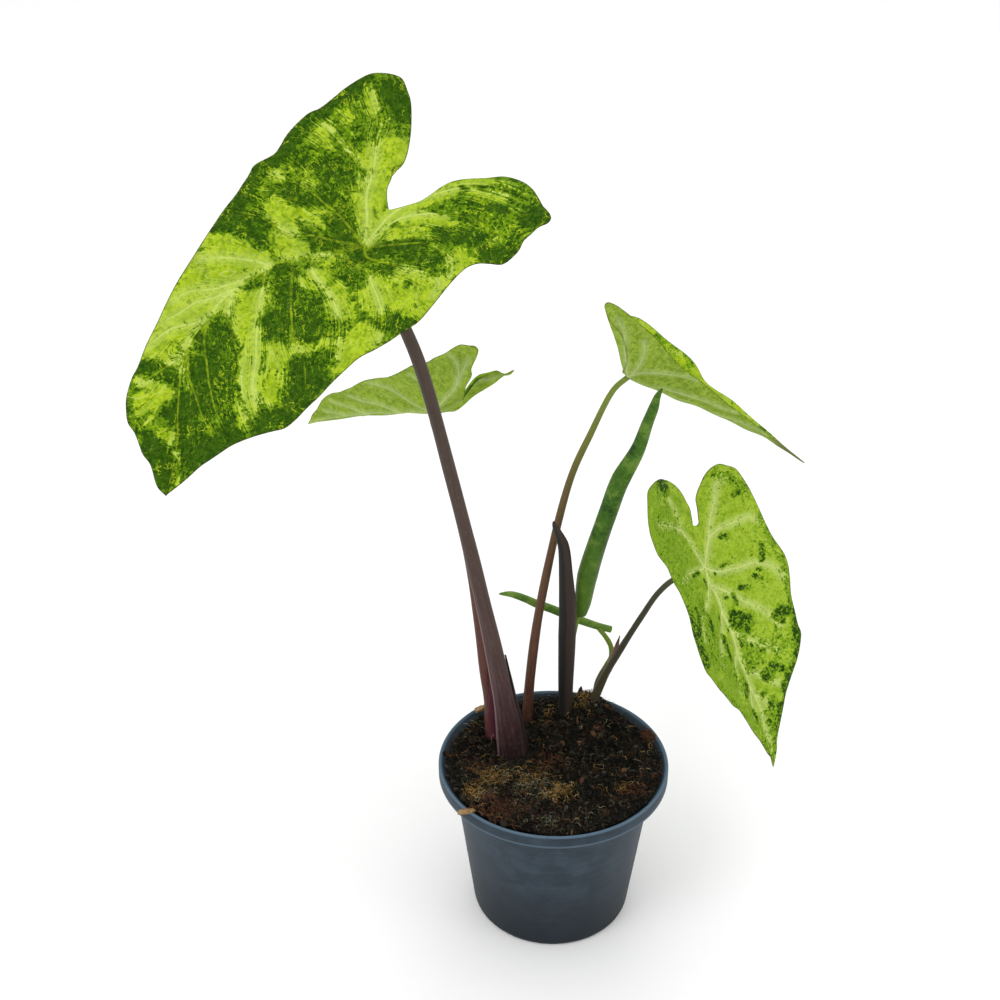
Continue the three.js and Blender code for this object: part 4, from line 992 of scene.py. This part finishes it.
def spread(rng, count, clumps):
    """Places on the mix, some of them gathered in clumps (x, y, reach, share)"""
    rng.uniform(-1, 1, (2, count))  # keeps the later draws in place
    radius = BITS_EDGE * np.sqrt(rng.uniform(0, 1, count))
    turn = rng.uniform(0, 2 * np.pi, count)
    x, y = radius * np.cos(turn), radius * np.sin(turn)
    start = 0
    for cx, cy, reach, share in clumps:
        stop = start + int(share * count)
        x[start:stop] = cx + rng.normal(0, reach, stop - start)
        y[start:stop] = cy + rng.normal(0, reach, stop - start)
        start = stop
    far = np.hypot(x, y)
    limit = BITS_EDGE - 1.6 * ease(y, -10, 30)
    shrink = np.minimum(1, limit / np.maximum(far, 1e-6))
    return x * shrink, y * shrink


def crumbs(rng, count, sizes, material, name, clumps):
    """Loose crumbs of mix or bark, uneven and sunk a little into the surface"""
    bm = bmesh.new()
    bmesh.ops.create_icosphere(bm, subdivisions=1, radius=1.0)
    template = bpy.data.meshes.new(name + "_shape")
    bm.to_mesh(template)
    bm.free()
    mesh, shape = scattered(name, template, count)
    shape = shape * rng.uniform(0.72, 1.28, (count, shape.shape[1], 1))
    stretch = np.exp(rng.normal(0, 0.5, (count, 1, 3)))
    size = sizes[0] + (sizes[1] - sizes[0]) * rng.uniform(0, 1, (count, 1, 1)) ** 2.5
    shape = shape * stretch * size
    turn = rng.uniform(0, 2 * np.pi, (count, 1))
    tilt = rng.uniform(-1, 1, (count, 1))
    sx, sy, sz = shape[..., 0], shape[..., 1], shape[..., 2]
    sy, sz = sy * np.cos(tilt) - sz * np.sin(tilt), sy * np.sin(tilt) + sz * np.cos(tilt)
    sx, sy = sx * np.cos(turn) - sy * np.sin(turn), sx * np.sin(turn) + sy * np.cos(turn)
    x, y = spread(rng, count, clumps)
    z = mix_height(x, y) + size[:, 0, 0] * 0.3
    points = np.stack([sx + x[:, None], sy + y[:, None], sz + z[:, None]], -1).reshape(-1, 3)
    note(mesh, "bit", np.repeat(rng.uniform(0, 1, count), shape.shape[1]))
    bpy.data.meshes.remove(template)
    finish_piece(mesh, points, material, (), merge=0.0001)


def fibres(rng, name, count, length, thickness, material, clumps, lift=0.4, centre=None):
    """Short curly shreds of coir that lie and stick up on the mix"""
    template, u, v, _ = sheet(name + "_shape", 6, 4)
    mesh, shape = scattered(name, template, count)
    u, v = shape[..., 0], shape[..., 1] * 2 * np.pi
    x, y = spread(rng, count, clumps)
    z = mix_height(x, y) + 0.6
    if centre is not None:
        x, y = centre[0] + rng.normal(0, 1.6, count), centre[1] + rng.normal(0, 2.2, count)
        inward = np.minimum(1, TANGLE_EDGE / np.hypot(x, y))
        x, y = x * inward, y * inward
        z = np.full(count, centre[2]) + rng.uniform(0, 1.2, count)
    reach = rng.uniform(*length, count)[:, None]
    turn = rng.uniform(0, 2 * np.pi, count)[:, None]
    bend = rng.normal(0, 2.2, count)[:, None]
    rise = np.abs(rng.normal(0, lift, count))[:, None]
    heading = turn + bend * u + 0.6 * np.sin(u * 9 + turn)
    step = reach * (u - 0.5)
    cx = x[:, None] + step * np.cos(heading)
    cy = y[:, None] + step * np.sin(heading)
    cz = z[:, None] + rise * reach * np.sin(u * np.pi * 0.9) * 0.5 + 0.3 * np.sin(u * 7 + turn * 3)
    thick = rng.uniform(*thickness, count)[:, None] * (1 - 0.7 * np.abs(2 * u - 1) ** 3)
    points = np.stack([cx + thick * np.cos(v) * np.sin(heading),
                       cy - thick * np.cos(v) * np.cos(heading),
                       cz + thick * np.sin(v)], -1).reshape(-1, 3)
    note(mesh, "bit", np.repeat(rng.uniform(0, 1, count), u.shape[1]))
    bpy.data.meshes.remove(template)
    finish_piece(mesh, points, material, (), merge=0.0001)


def bits_paint(name, *stops):
    """Each crumb or fibre takes its own colour from the list"""
    paint = Paint(name, Specular_IOR_Level=0.2)
    tone, _, _ = paint.parts(paint.noted("bit"))
    patch = paint.grain(paint.place(), 500, 3, 0.6)
    paint.drive("Base Color", paint.ramp(tone + (patch - 0.5) * 0.3, *stops))
    paint.drive("Roughness", 0.65 + patch * 0.3)
    paint.bump(patch, 0.3, 0.5)
    return paint.material


# One place in the noise for each direction in which a chip's surface is moved
CHIP_SHIFTS = [Vector(shift) for shift in ((31, 7, 5), (3, 47, 11), (13, 2, 59))]


def chip(name, outline, height, place, turn, material, node):
    """A flake of bark: an outline raised, rounded and roughened"""
    bm = bmesh.new()
    corners = [bm.verts.new((x, y, 0)) for x, y in outline]
    face = bm.faces.new(corners)
    raised = bmesh.ops.extrude_face_region(bm, geom=[face])["geom"]
    for v in raised:
        if isinstance(v, bmesh.types.BMVert):
            v.co.z = height
    bmesh.ops.recalc_face_normals(bm, faces=bm.faces)
    bmesh.ops.bevel(bm, geom=bm.edges[:], offset=0.28, segments=2, affect="EDGES", profile=0.5,
                    material=-1)
    bmesh.ops.triangulate(bm, faces=bm.faces)
    bmesh.ops.subdivide_edges(bm, edges=bm.edges, cuts=2, use_grid_fill=True)
    for v in bm.verts:
        v.co += Vector([0.22 * noise.noise(v.co * 1.1 + shift) + 0.1 * noise.noise(v.co * 3.1 + shift)
                        for shift in CHIP_SHIFTS])
    about = Matrix.Rotation(math.radians(turn), 3, "Z")
    bmesh.ops.rotate(bm, verts=bm.verts, cent=(0, 0, 0), matrix=about)
    bmesh.ops.translate(bm, verts=bm.verts, vec=place)
    mesh = bpy.data.meshes.new(name)
    bm.to_mesh(mesh)
    bm.free()
    finish_piece(mesh, read_points(mesh), material, [node])


# The plant: where each part stands

STALKS = {
    "petiole_1": dict(
        points=[(-16.2, 13.8, 57), (-18.3, 11.2, 73.4), (-22.2, 7.6, 105.4), (-25.7, 5, 129),
                (-32.5, -0.9, 169.9), (-43.7, -9.7, 230.8), (-55.9, -18.1, 288.4), (-66, -21, 315.5)],
        ends=("leaf_1", 9, 3.2),
        radii=[(0, 6.6), (0.06, 7.1), (0.1, 6.3), (0.17, 4.9), (0.26, 4), (0.4, 3.3), (0.62, 2.7),
               (1, 2.4)]),
    "petiole_2": dict(
        points=[(-26.8, 18, 57), (-28.2, 22.9, 75.7), (-29.1, 28.1, 92.3), (-31.4, 32.7, 106.8),
                (-36.4, 44.4, 143.8), (-46.3, 60.1, 193.7), (-49.8, 63.2, 206)],
        ends=("leaf_2", 5, 1.2),
        radii=[(0, 3), (0.1, 3.3), (0.3, 2.7), (0.6, 2), (1, 1.6)]),
    "petiole_3": dict(
        points=[(-12.6, 29.6, 56), (-11.5, 32, 77.5), (-10.3, 34.2, 99.4), (-6, 38.3, 137.8),
                (6.7, 44.9, 200.9), (15.1, 47.1, 222.2), (25, 49, 243.5)],
        ends=("leaf_3", None, 1),
        radii=[(0, 2.4), (0.12, 2.5), (0.4, 2.1), (0.75, 1.6), (1, 1.2)]),
    "petiole_unfurling": dict(
        points=[(8.2, 32.6, 58), (7.6, 34.6, 84), (7.4, 34.4, 104), (9.2, 36, 121), (12.2, 39, 136)],
        ends=None, radii=[(0, 1.3), (1, 1.3)]),
    "side_shoot": dict(
        points=[(13, 33.5, 60), (16.8, 36.4, 76), (21.3, 36.8, 89.3), (25.5, 35.1, 102.8),
                (30.1, 33.6, 114.2), (40.4, 30.5, 138.1), (46.9, 28.7, 151.7), (53.1, 27.7, 159.3)],
        ends=("leaf_4", 6, 1.6),
        radii=[(0, 1.9), (0.22, 2.4), (0.36, 1.8), (0.6, 1.4), (1, 1.2)]),
}


def stalk_points(spec):
    """The stalk's path, ending on the underside of its blade"""
    points = list(spec["points"])
    if spec["ends"]:
        leaf, approach, seat = spec["ends"]
        junction, _, _, face, _ = blade_frame(LEAVES[leaf])
        for depth in (approach, seat):
            if depth is not None:
                points.append(tuple(junction - face * depth))
    return points


DARK_SHEATH = dict(
    points=[(7.4, 33.4, 61), (6.8, 34, 84), (6.6, 33.5, 94), (6.5, 32.1, 124), (6.3, 31.2, 143.6),
            (5.2, 30.4, 160.2), (3.7, 29.6, 176.4), (1.4, 29.3, 184.4), (-0.1, 29, 190.1)],
    facing=(-0.5, -0.85, 0),
    radii=[(0, 2.9), (0.2, 3.1), (0.5, 3.8), (0.66, 3.5), (0.78, 2.8), (1, 1.8)],
    half_widths=[(0, 7), (0.4, 9), (0.66, 8), (0.78, 6.4), (0.9, 4.2), (0.97, 2), (1, 0.3)],
    pitch=0, wall=0.6)
SMALL_SHEATH = dict(
    points=[(-16.8, 14, 68), (-18.8, 12, 86), (-21.4, 9.3, 104), (-26.2, 6, 132)],
    facing=(0.94, 0.3, 0),
    radii=[(0, 6.9), (0.3, 5.7), (0.6, 4.9), (1, 4.4)],
    half_widths=[(0, 9), (0.3, 7), (0.6, 4.4), (0.85, 1.8), (1, 0.2)],
    pitch=0, wall=0.7)
PINK_SHEATH = dict(
    points=[(-27.4, 20, 70), (-28.2, 23.2, 77), (-28.8, 26.6, 88), (-29.6, 29.6, 99),
            (-31.2, 32.4, 107)],
    facing=(0.5, -0.86, 0),
    radii=[(0, 3.4), (0.5, 3.3), (1, 3.0)],
    half_widths=[(0, 4.2), (0.5, 3.0), (1, 0.2)],
    pitch=0, wall=0.5)
UNFURLING = dict(
    points=[(12.4, 39, 134), (13.7, 38.2, 143.4), (15.1, 37.1, 156.5), (19.2, 35.5, 175.5),
            (23.2, 34.1, 191.7), (27.4, 32.9, 207), (34.4, 31.5, 223.4), (37.9, 30.4, 236.9),
            (41.9, 29.3, 249.1), (44.1, 29, 253.4)],
    facing=(-0.6, -0.8, 0),
    radii=[(0, 2.6), (0.05, 3.5), (0.18, 4.3), (0.4, 3.8), (0.62, 3.8), (0.76, 2.7), (0.88, 2),
           (1, 1.6)],
    half_widths=[(0, 6), (0.05, 10), (0.18, 15), (0.4, 14.5), (0.62, 13.5), (0.76, 9), (0.88, 5),
                 (1, 0.3)],
    pitch=1.4, wall=0.5)
SMALL_ROLLED = dict(
    points=[(28.3, 50.4, 116.7), (21.6, 50.2, 118.9), (8.6, 49.5, 124.7), (-0.9, 49, 129.6),
            (-7.1, 48.7, 132.3), (-12.7, 48.4, 135.4), (-19.3, 48.1, 138.1), (-24.9, 48, 138.4)],
    facing=(0, -0.7, 0.7),
    radii=[(0, 1.4), (0.3, 1.8), (0.7, 1.7), (1, 1.2)],
    half_widths=[(0, 3), (0.2, 6), (0.65, 5), (0.85, 2.4), (1, 0.3)],
    pitch=1.25, wall=0.5)


def make_leaves():
    """The four open blades and the two rolled ones"""
    under, under_vein = [(130, 160, 36), (155, 179, 68), (100, 130, 30)], (192, 207, 142)
    face = splashed_leaf(
        "leaf_marbled", [(32, 66, 4), (56, 92, 10)], [(74, 112, 8), (98, 134, 16)],
        [(130, 162, 10), (172, 196, 38)], (196, 214, 112), under, under_vein, -0.1, 0.6,
        fine=1.05, squiggle=0.8)
    light = splashed_leaf(
        "leaf_lime", [(30, 62, 8), (50, 86, 12)], [(98, 136, 20), (118, 152, 28)],
        [(126, 160, 22), (156, 184, 50)], (208, 220, 138), under, under_vein, 0.4, 0.95,
        jumble=1.3, streaky=0.3, grit=0.6, tint=-0.006, wash=0.9, glow=0.4, shine=0.0, fine=1.6)
    shaded = [[(40, 80, 8), (64, 110, 10)], [(92, 136, 14), (118, 156, 16)],
              [(140, 172, 12), (168, 192, 34)], (180, 200, 96), under, under_vein]
    pale = splashed_leaf("leaf_folded", *shaded, 0.0, 0.62, broad=1.6)
    folded = splashed_leaf("leaf_boat", *shaded, 0.02, 0.62, broad=1.2, dry_tip=(66, 76))
    blade("leaf_1", 380, 56, face)
    blade("leaf_2", 240, 34, pale)
    blade("leaf_3", 240, 34, folded)
    blade("leaf_4", 290, 50, light)
    rolled = rolled_paint(
        "leaf_rolled_tall", (28, 62, 4), (56, 96, 14), (98, 130, 44), (112, 146, 30), 0.05)
    small = rolled_paint(
        "leaf_rolled_small", (46, 84, 18), (80, 118, 38), (118, 148, 62), (112, 146, 50), 0.1)
    curl("unfurling_roll", UNFURLING, rolled, ["leaf_unfurling"], 180, 120, 0.05)
    curl("small_roll", SMALL_ROLLED, small, ["leaf_small_rolled"], 120, 90, 0.03)


def make_stalks():
    """Stalks, twigs, the bud and the sheaths"""
    purple = stem_paint(
        "stalk_purple", [(0, (26, 16, 18)), (0.08, (38, 24, 27)), (0.13, (56, 34, 38)),
                         (0.22, (72, 52, 50)), (0.6, (70, 56, 48)), (1, (66, 56, 46))],
        (100, 82, 76), 0.45, pale_edge=(-62, 13, (120, 98, 98), 0.5))
    red = stem_paint(
        "stalk_red", [(0, (62, 26, 30)), (0.2, (88, 48, 44)), (0.5, (90, 60, 50)), (1, (84, 74, 40))],
        (118, 80, 70), 0.4)
    rust = stem_paint(
        "stalk_rust", [(0, (56, 32, 26)), (0.3, (90, 56, 42)), (0.55, (96, 68, 46)),
                       (0.7, (100, 86, 46)), (0.84, (112, 122, 48)), (1, (124, 148, 54))],
        (124, 96, 72), 0.55)
    olive = stem_paint(
        "stalk_olive", [(0, (56, 46, 32)), (0.3, (70, 64, 44)), (0.5, (60, 56, 44)),
                        (0.8, (68, 66, 52)), (1, (98, 112, 60))], (88, 84, 56), 0.4)
    lime = stem_paint(
        "stalk_lime", [(0, (48, 46, 26)), (0.3, (70, 76, 30)), (0.5, (108, 122, 40)),
                       (1, (112, 142, 48))], (140, 156, 74), 0.4)
    ribs = [(-62, 12, 0.45, 0.5), (-20, 14, 0.25, 0.3), (10, 10, -0.35, 0.28), (38, 12, -0.35, 0.25),
            (62, 14, 0.35, 0.3), (170, 24, 0.3, 0.4)]
    for name, paint, slot, shape in (
            ("petiole_1", purple, "stalk_purple", dict(rows=220, columns=72, ribs=ribs)),
            ("petiole_2", red, "stalk_red", dict(rows=160, columns=40)),
            ("petiole_3", rust, "stalk_red", dict(rows=160, columns=36)),
            ("petiole_unfurling", lime, "stalk_olive", {}),
            ("side_shoot", olive, "stalk_olive", dict(rows=180, columns=32))):
        spec = STALKS[name]
        stalk(name + "_stem", stalk_points(spec), spec["radii"], paint, [name], slot, **shape)
    stalk("side_twig", [(21.2, 37.2, 89), (22.6, 39.3, 95.6), (25.8, 41.5, 101.7), (28.4, 43.1, 106.6),
                        (28, 45, 111.4), (25.6, 47, 115.2), (22.4, 49.4, 118.4)],
          [(0, 1.8), (0.4, 1.35), (1, 1.1)], lime, (), "stalk_olive", 90, 24)
    stalk("fork_tongue", [(26.9, 36.2, 103.4), (28.8, 37.6, 110), (31.6, 39.6, 121)],
          [(0, 1.3), (0.35, 1.5), (0.75, 0.9), (1, 0.15)],
          stem_paint("tongue_brown", [(0, (96, 62, 52)), (0.6, (128, 88, 84)), (1, (86, 56, 58))],
                     (150, 110, 100), 0.4), (), "sheath", 40, 20)
    stalk("mound_bud", [(13.4, 40.4, 78), (14, 42, 86), (14.6, 42.8, 89.5)],
          [(0, 1.4), (0.6, 1.4), (0.88, 0.9), (1, 0.15)],
          stem_paint("bud_dark", [(0, (40, 26, 26)), (1, (58, 34, 34))], (80, 56, 50), 0.3),
          ["bud"], "sheath", 40, 20)
    curl("tall_sheath", DARK_SHEATH,
         sheath_paint("sheath_charcoal", (34, 34, 32), (58, 46, 42), (64, 58, 50), split=0.18),
         ["sheath_dark"], 160, 90, 0.03)
    curl("short_sheath", SMALL_SHEATH,
         sheath_paint("sheath_plum", (40, 28, 30), (34, 26, 26), (66, 50, 46)),
         ["sheath_small"], 70, 50, 0.04)
    curl("pink_sheath", PINK_SHEATH,
         sheath_paint("sheath_pink", (86, 42, 52), (66, 36, 40), (106, 62, 66)), (),
         70, 50, 0.04)


def make_pot():
    """The pot, the mix and all that lies on it"""
    pot(pot_paint())
    potting_mix(soil_paint("mix_dark", (11, 11, 9), (34, 32, 25), (52, 38, 24)))
    rng = np.random.default_rng(11)
    earth = bits_paint("crumb_earth", (0, (12, 12, 10)), (0.4, (25, 24, 19)), (0.75, (42, 38, 30)),
                       (0.93, (60, 46, 34)), (1, (92, 72, 50)))
    crumbs(rng, 3000, (0.22, 0.95), earth, "mix_crumbs",
           [(17, 37, 5, 0.08), (-24, -31, 7, 0.06), (-18, 4, 4, 0.05)])
    tan = bits_paint("crumb_tan", (0, (46, 34, 25)), (0.5, (78, 53, 37)), (1, (112, 80, 54)))
    crumbs(rng, 60, (0.35, 1), tan, "bark_crumbs", [(21.8, 22, 3, 0.4), (18, -6, 3, 0.1),
                                                     (15.6, 36.9, 3, 0.15)])
    gold = bits_paint("fibre_gold", (0, (92, 68, 28)), (0.5, (152, 114, 50)), (1, (214, 184, 118)))
    fibres(rng, "fibres_gold", 520, (2.2, 6.5), (0.05, 0.12), gold,
           [(-28.9, -8.4, 4, 0.24), (-36.9, -22.3, 2.6, 0.12), (1.6, -18.1, 4, 0.2),
            (-12, -8, 4.5, 0.12), (15.6, 36.9, 3.4, 0.12), (0.4, 35.5, 3, 0.05),
            (30.4, -16.9, 2, 0.03)])
    rust = bits_paint("fibre_rust", (0, (46, 28, 20)), (0.5, (80, 48, 30)), (1, (128, 84, 54)))
    fibres(rng, "fibres_rust", 800, (2, 7), (0.06, 0.15), rust,
           [(-24, -31, 7, 0.3), (-2.3, 1.5, 4, 0.1), (-36, 0, 5, 0.08), (36, -18, 4, 0.08)])
    pale = bits_paint("fibre_pale", (0, (70, 70, 54)), (0.5, (114, 112, 86)), (1, (196, 190, 158)))
    fibres(rng, "fibres_pale", 560, (1.5, 6), (0.04, 0.09), pale,
           [(-9, -17, 6, 0.3), (-3.6, -42, 3, 0.05), (-28, -10, 8, 0.15), (16, 37, 4, 0.06)])
    dark = bits_paint("fibre_dark", (0, (18, 18, 14)), (0.6, (38, 36, 28)), (1, (66, 62, 48)))
    fibres(rng, "fibres_dark", 2300, (2, 7), (0.05, 0.13), dark,
           [(-18, 4.5, 3, 0.05), (-24, 12, 3, 0.02), (-11, 10, 3, 0.02)])
    fibres(rng, "coir_tangle", 190, (1.2, 3), (0.08, 0.2), rust, (), 0.1, (45.6, 18.6, 79))
    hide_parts("coir_tuft")
    bark = bark_paint()
    chip("chip_front", [(-4, -1), (0, -1.6), (4.2, -0.6), (3.4, 1), (-1, 1.5), (-3.6, 0.8)], 1.2,
         (-39.2, -36, 79.6), 12, bark, "scrap_front")
    chip("chip_back", [(-3, -1.2), (1, -1.5), (3.2, 0), (1.4, 1.6), (-2.4, 1.2)], 1.6,
         (-34, 36.2, 80.1), 38, bark, "scrap_back")


def bark_paint():
    """Dry tan bark, darker in its rings"""
    paint = Paint("bark_flake", Specular_IOR_Level=0.25)
    place = paint.place()
    rings = paint.grain(place, 700, 5, 0.7)
    patch = paint.grain(place, 180, 3, 0.6)
    colour = paint.ramp(rings * 0.6 + patch * 0.4, (0.3, (88, 64, 42)), (0.5, (138, 108, 70)),
                        (0.7, (186, 162, 122)))
    paint.drive("Base Color", colour)
    paint.drive("Roughness", 0.7 + patch * 0.25)
    paint.bump(rings, 0.4, 0.8)
    return paint.material


def corm_paint():
    """Brown papery skin with rings round it"""
    paint = Paint("corm_skin", Specular_IOR_Level=0.2)
    place = paint.place()
    x, y, z = paint.parts(place)
    rings = paint.grain(paint.point(x * 60, y * 60, z * 700), 1.0, 4, 0.6)
    patch = paint.grain(place, 260, 4, 0.6)
    paint.drive("Base Color", paint.mix(paint.step(rings, 0.35, 0.65), (74, 48, 30), (134, 98, 62)))
    paint.drive("Roughness", 0.7 + patch * 0.25)
    paint.bump(rings * 0.6 + patch * 0.4, 0.6, 0.7)
    return paint.material


LAMPS = [((-0.9, -0.9, 1.7), 0.8, 7), ((1.3, -0.7, 1.1), 0.8, 2.5), ((0.2, 1.3, 1.6), 1.0, 3)]
CAMERA = dict(place=(-0.0244, -0.540, 0.5203), pitch=60.6, lens=54)


def make_stage():
    """A white floor, an even white surround, three soft lamps (place, width, watts) and the camera"""
    bm = bmesh.new()
    bmesh.ops.create_grid(bm, x_segments=2, y_segments=2, size=6)
    mesh = bpy.data.meshes.new("floor")
    bm.to_mesh(mesh)
    bm.free()
    floor = bpy.data.objects.new("floor", mesh)
    floor.location.z = -0.0002
    bpy.context.scene.collection.objects.link(floor)
    paint = Paint("floor_white", Roughness=0.9, Specular_IOR_Level=0.1)
    paint.surface.inputs["Base Color"].default_value = (0.97, 0.97, 0.97, 1)
    mesh.materials.append(paint.material)
    scene = bpy.context.scene
    scene.view_settings.view_transform = "Standard"
    world = bpy.data.worlds.new("studio")
    world.use_nodes = True
    world.node_tree.nodes["Background"].inputs[0].default_value = (1, 1, 1, 1)
    world.node_tree.nodes["Background"].inputs[1].default_value = 0.98
    scene.world = world
    for place, size, watts in LAMPS:
        light = bpy.data.lights.new("softbox", "AREA")
        light.shape = "DISK"
        light.size = size
        light.energy = watts
        lamp = bpy.data.objects.new("softbox", light)
        lamp.location = place
        aim = Vector((0, 0, 0.2)) - Vector(place)
        lamp.rotation_mode = "QUATERNION"
        lamp.rotation_quaternion = aim.to_track_quat("-Z", "Y")
        scene.collection.objects.link(lamp)
    lens = bpy.data.cameras.new("camera")
    lens.lens = CAMERA["lens"]
    lens.sensor_width = 36
    camera = bpy.data.objects.new("camera", lens)
    camera.location = CAMERA["place"]
    camera.rotation_euler = (math.radians(CAMERA["pitch"]), 0, 0)
    scene.collection.objects.link(camera)
    scene.camera = camera


make_stage()
make_pot()
make_stalks()
make_leaves()
skin = corm_paint()
for corm in ("corm_main", "corm_second"):
    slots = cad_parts[corm].data.materials
    slots.clear()
    slots.append(skin)
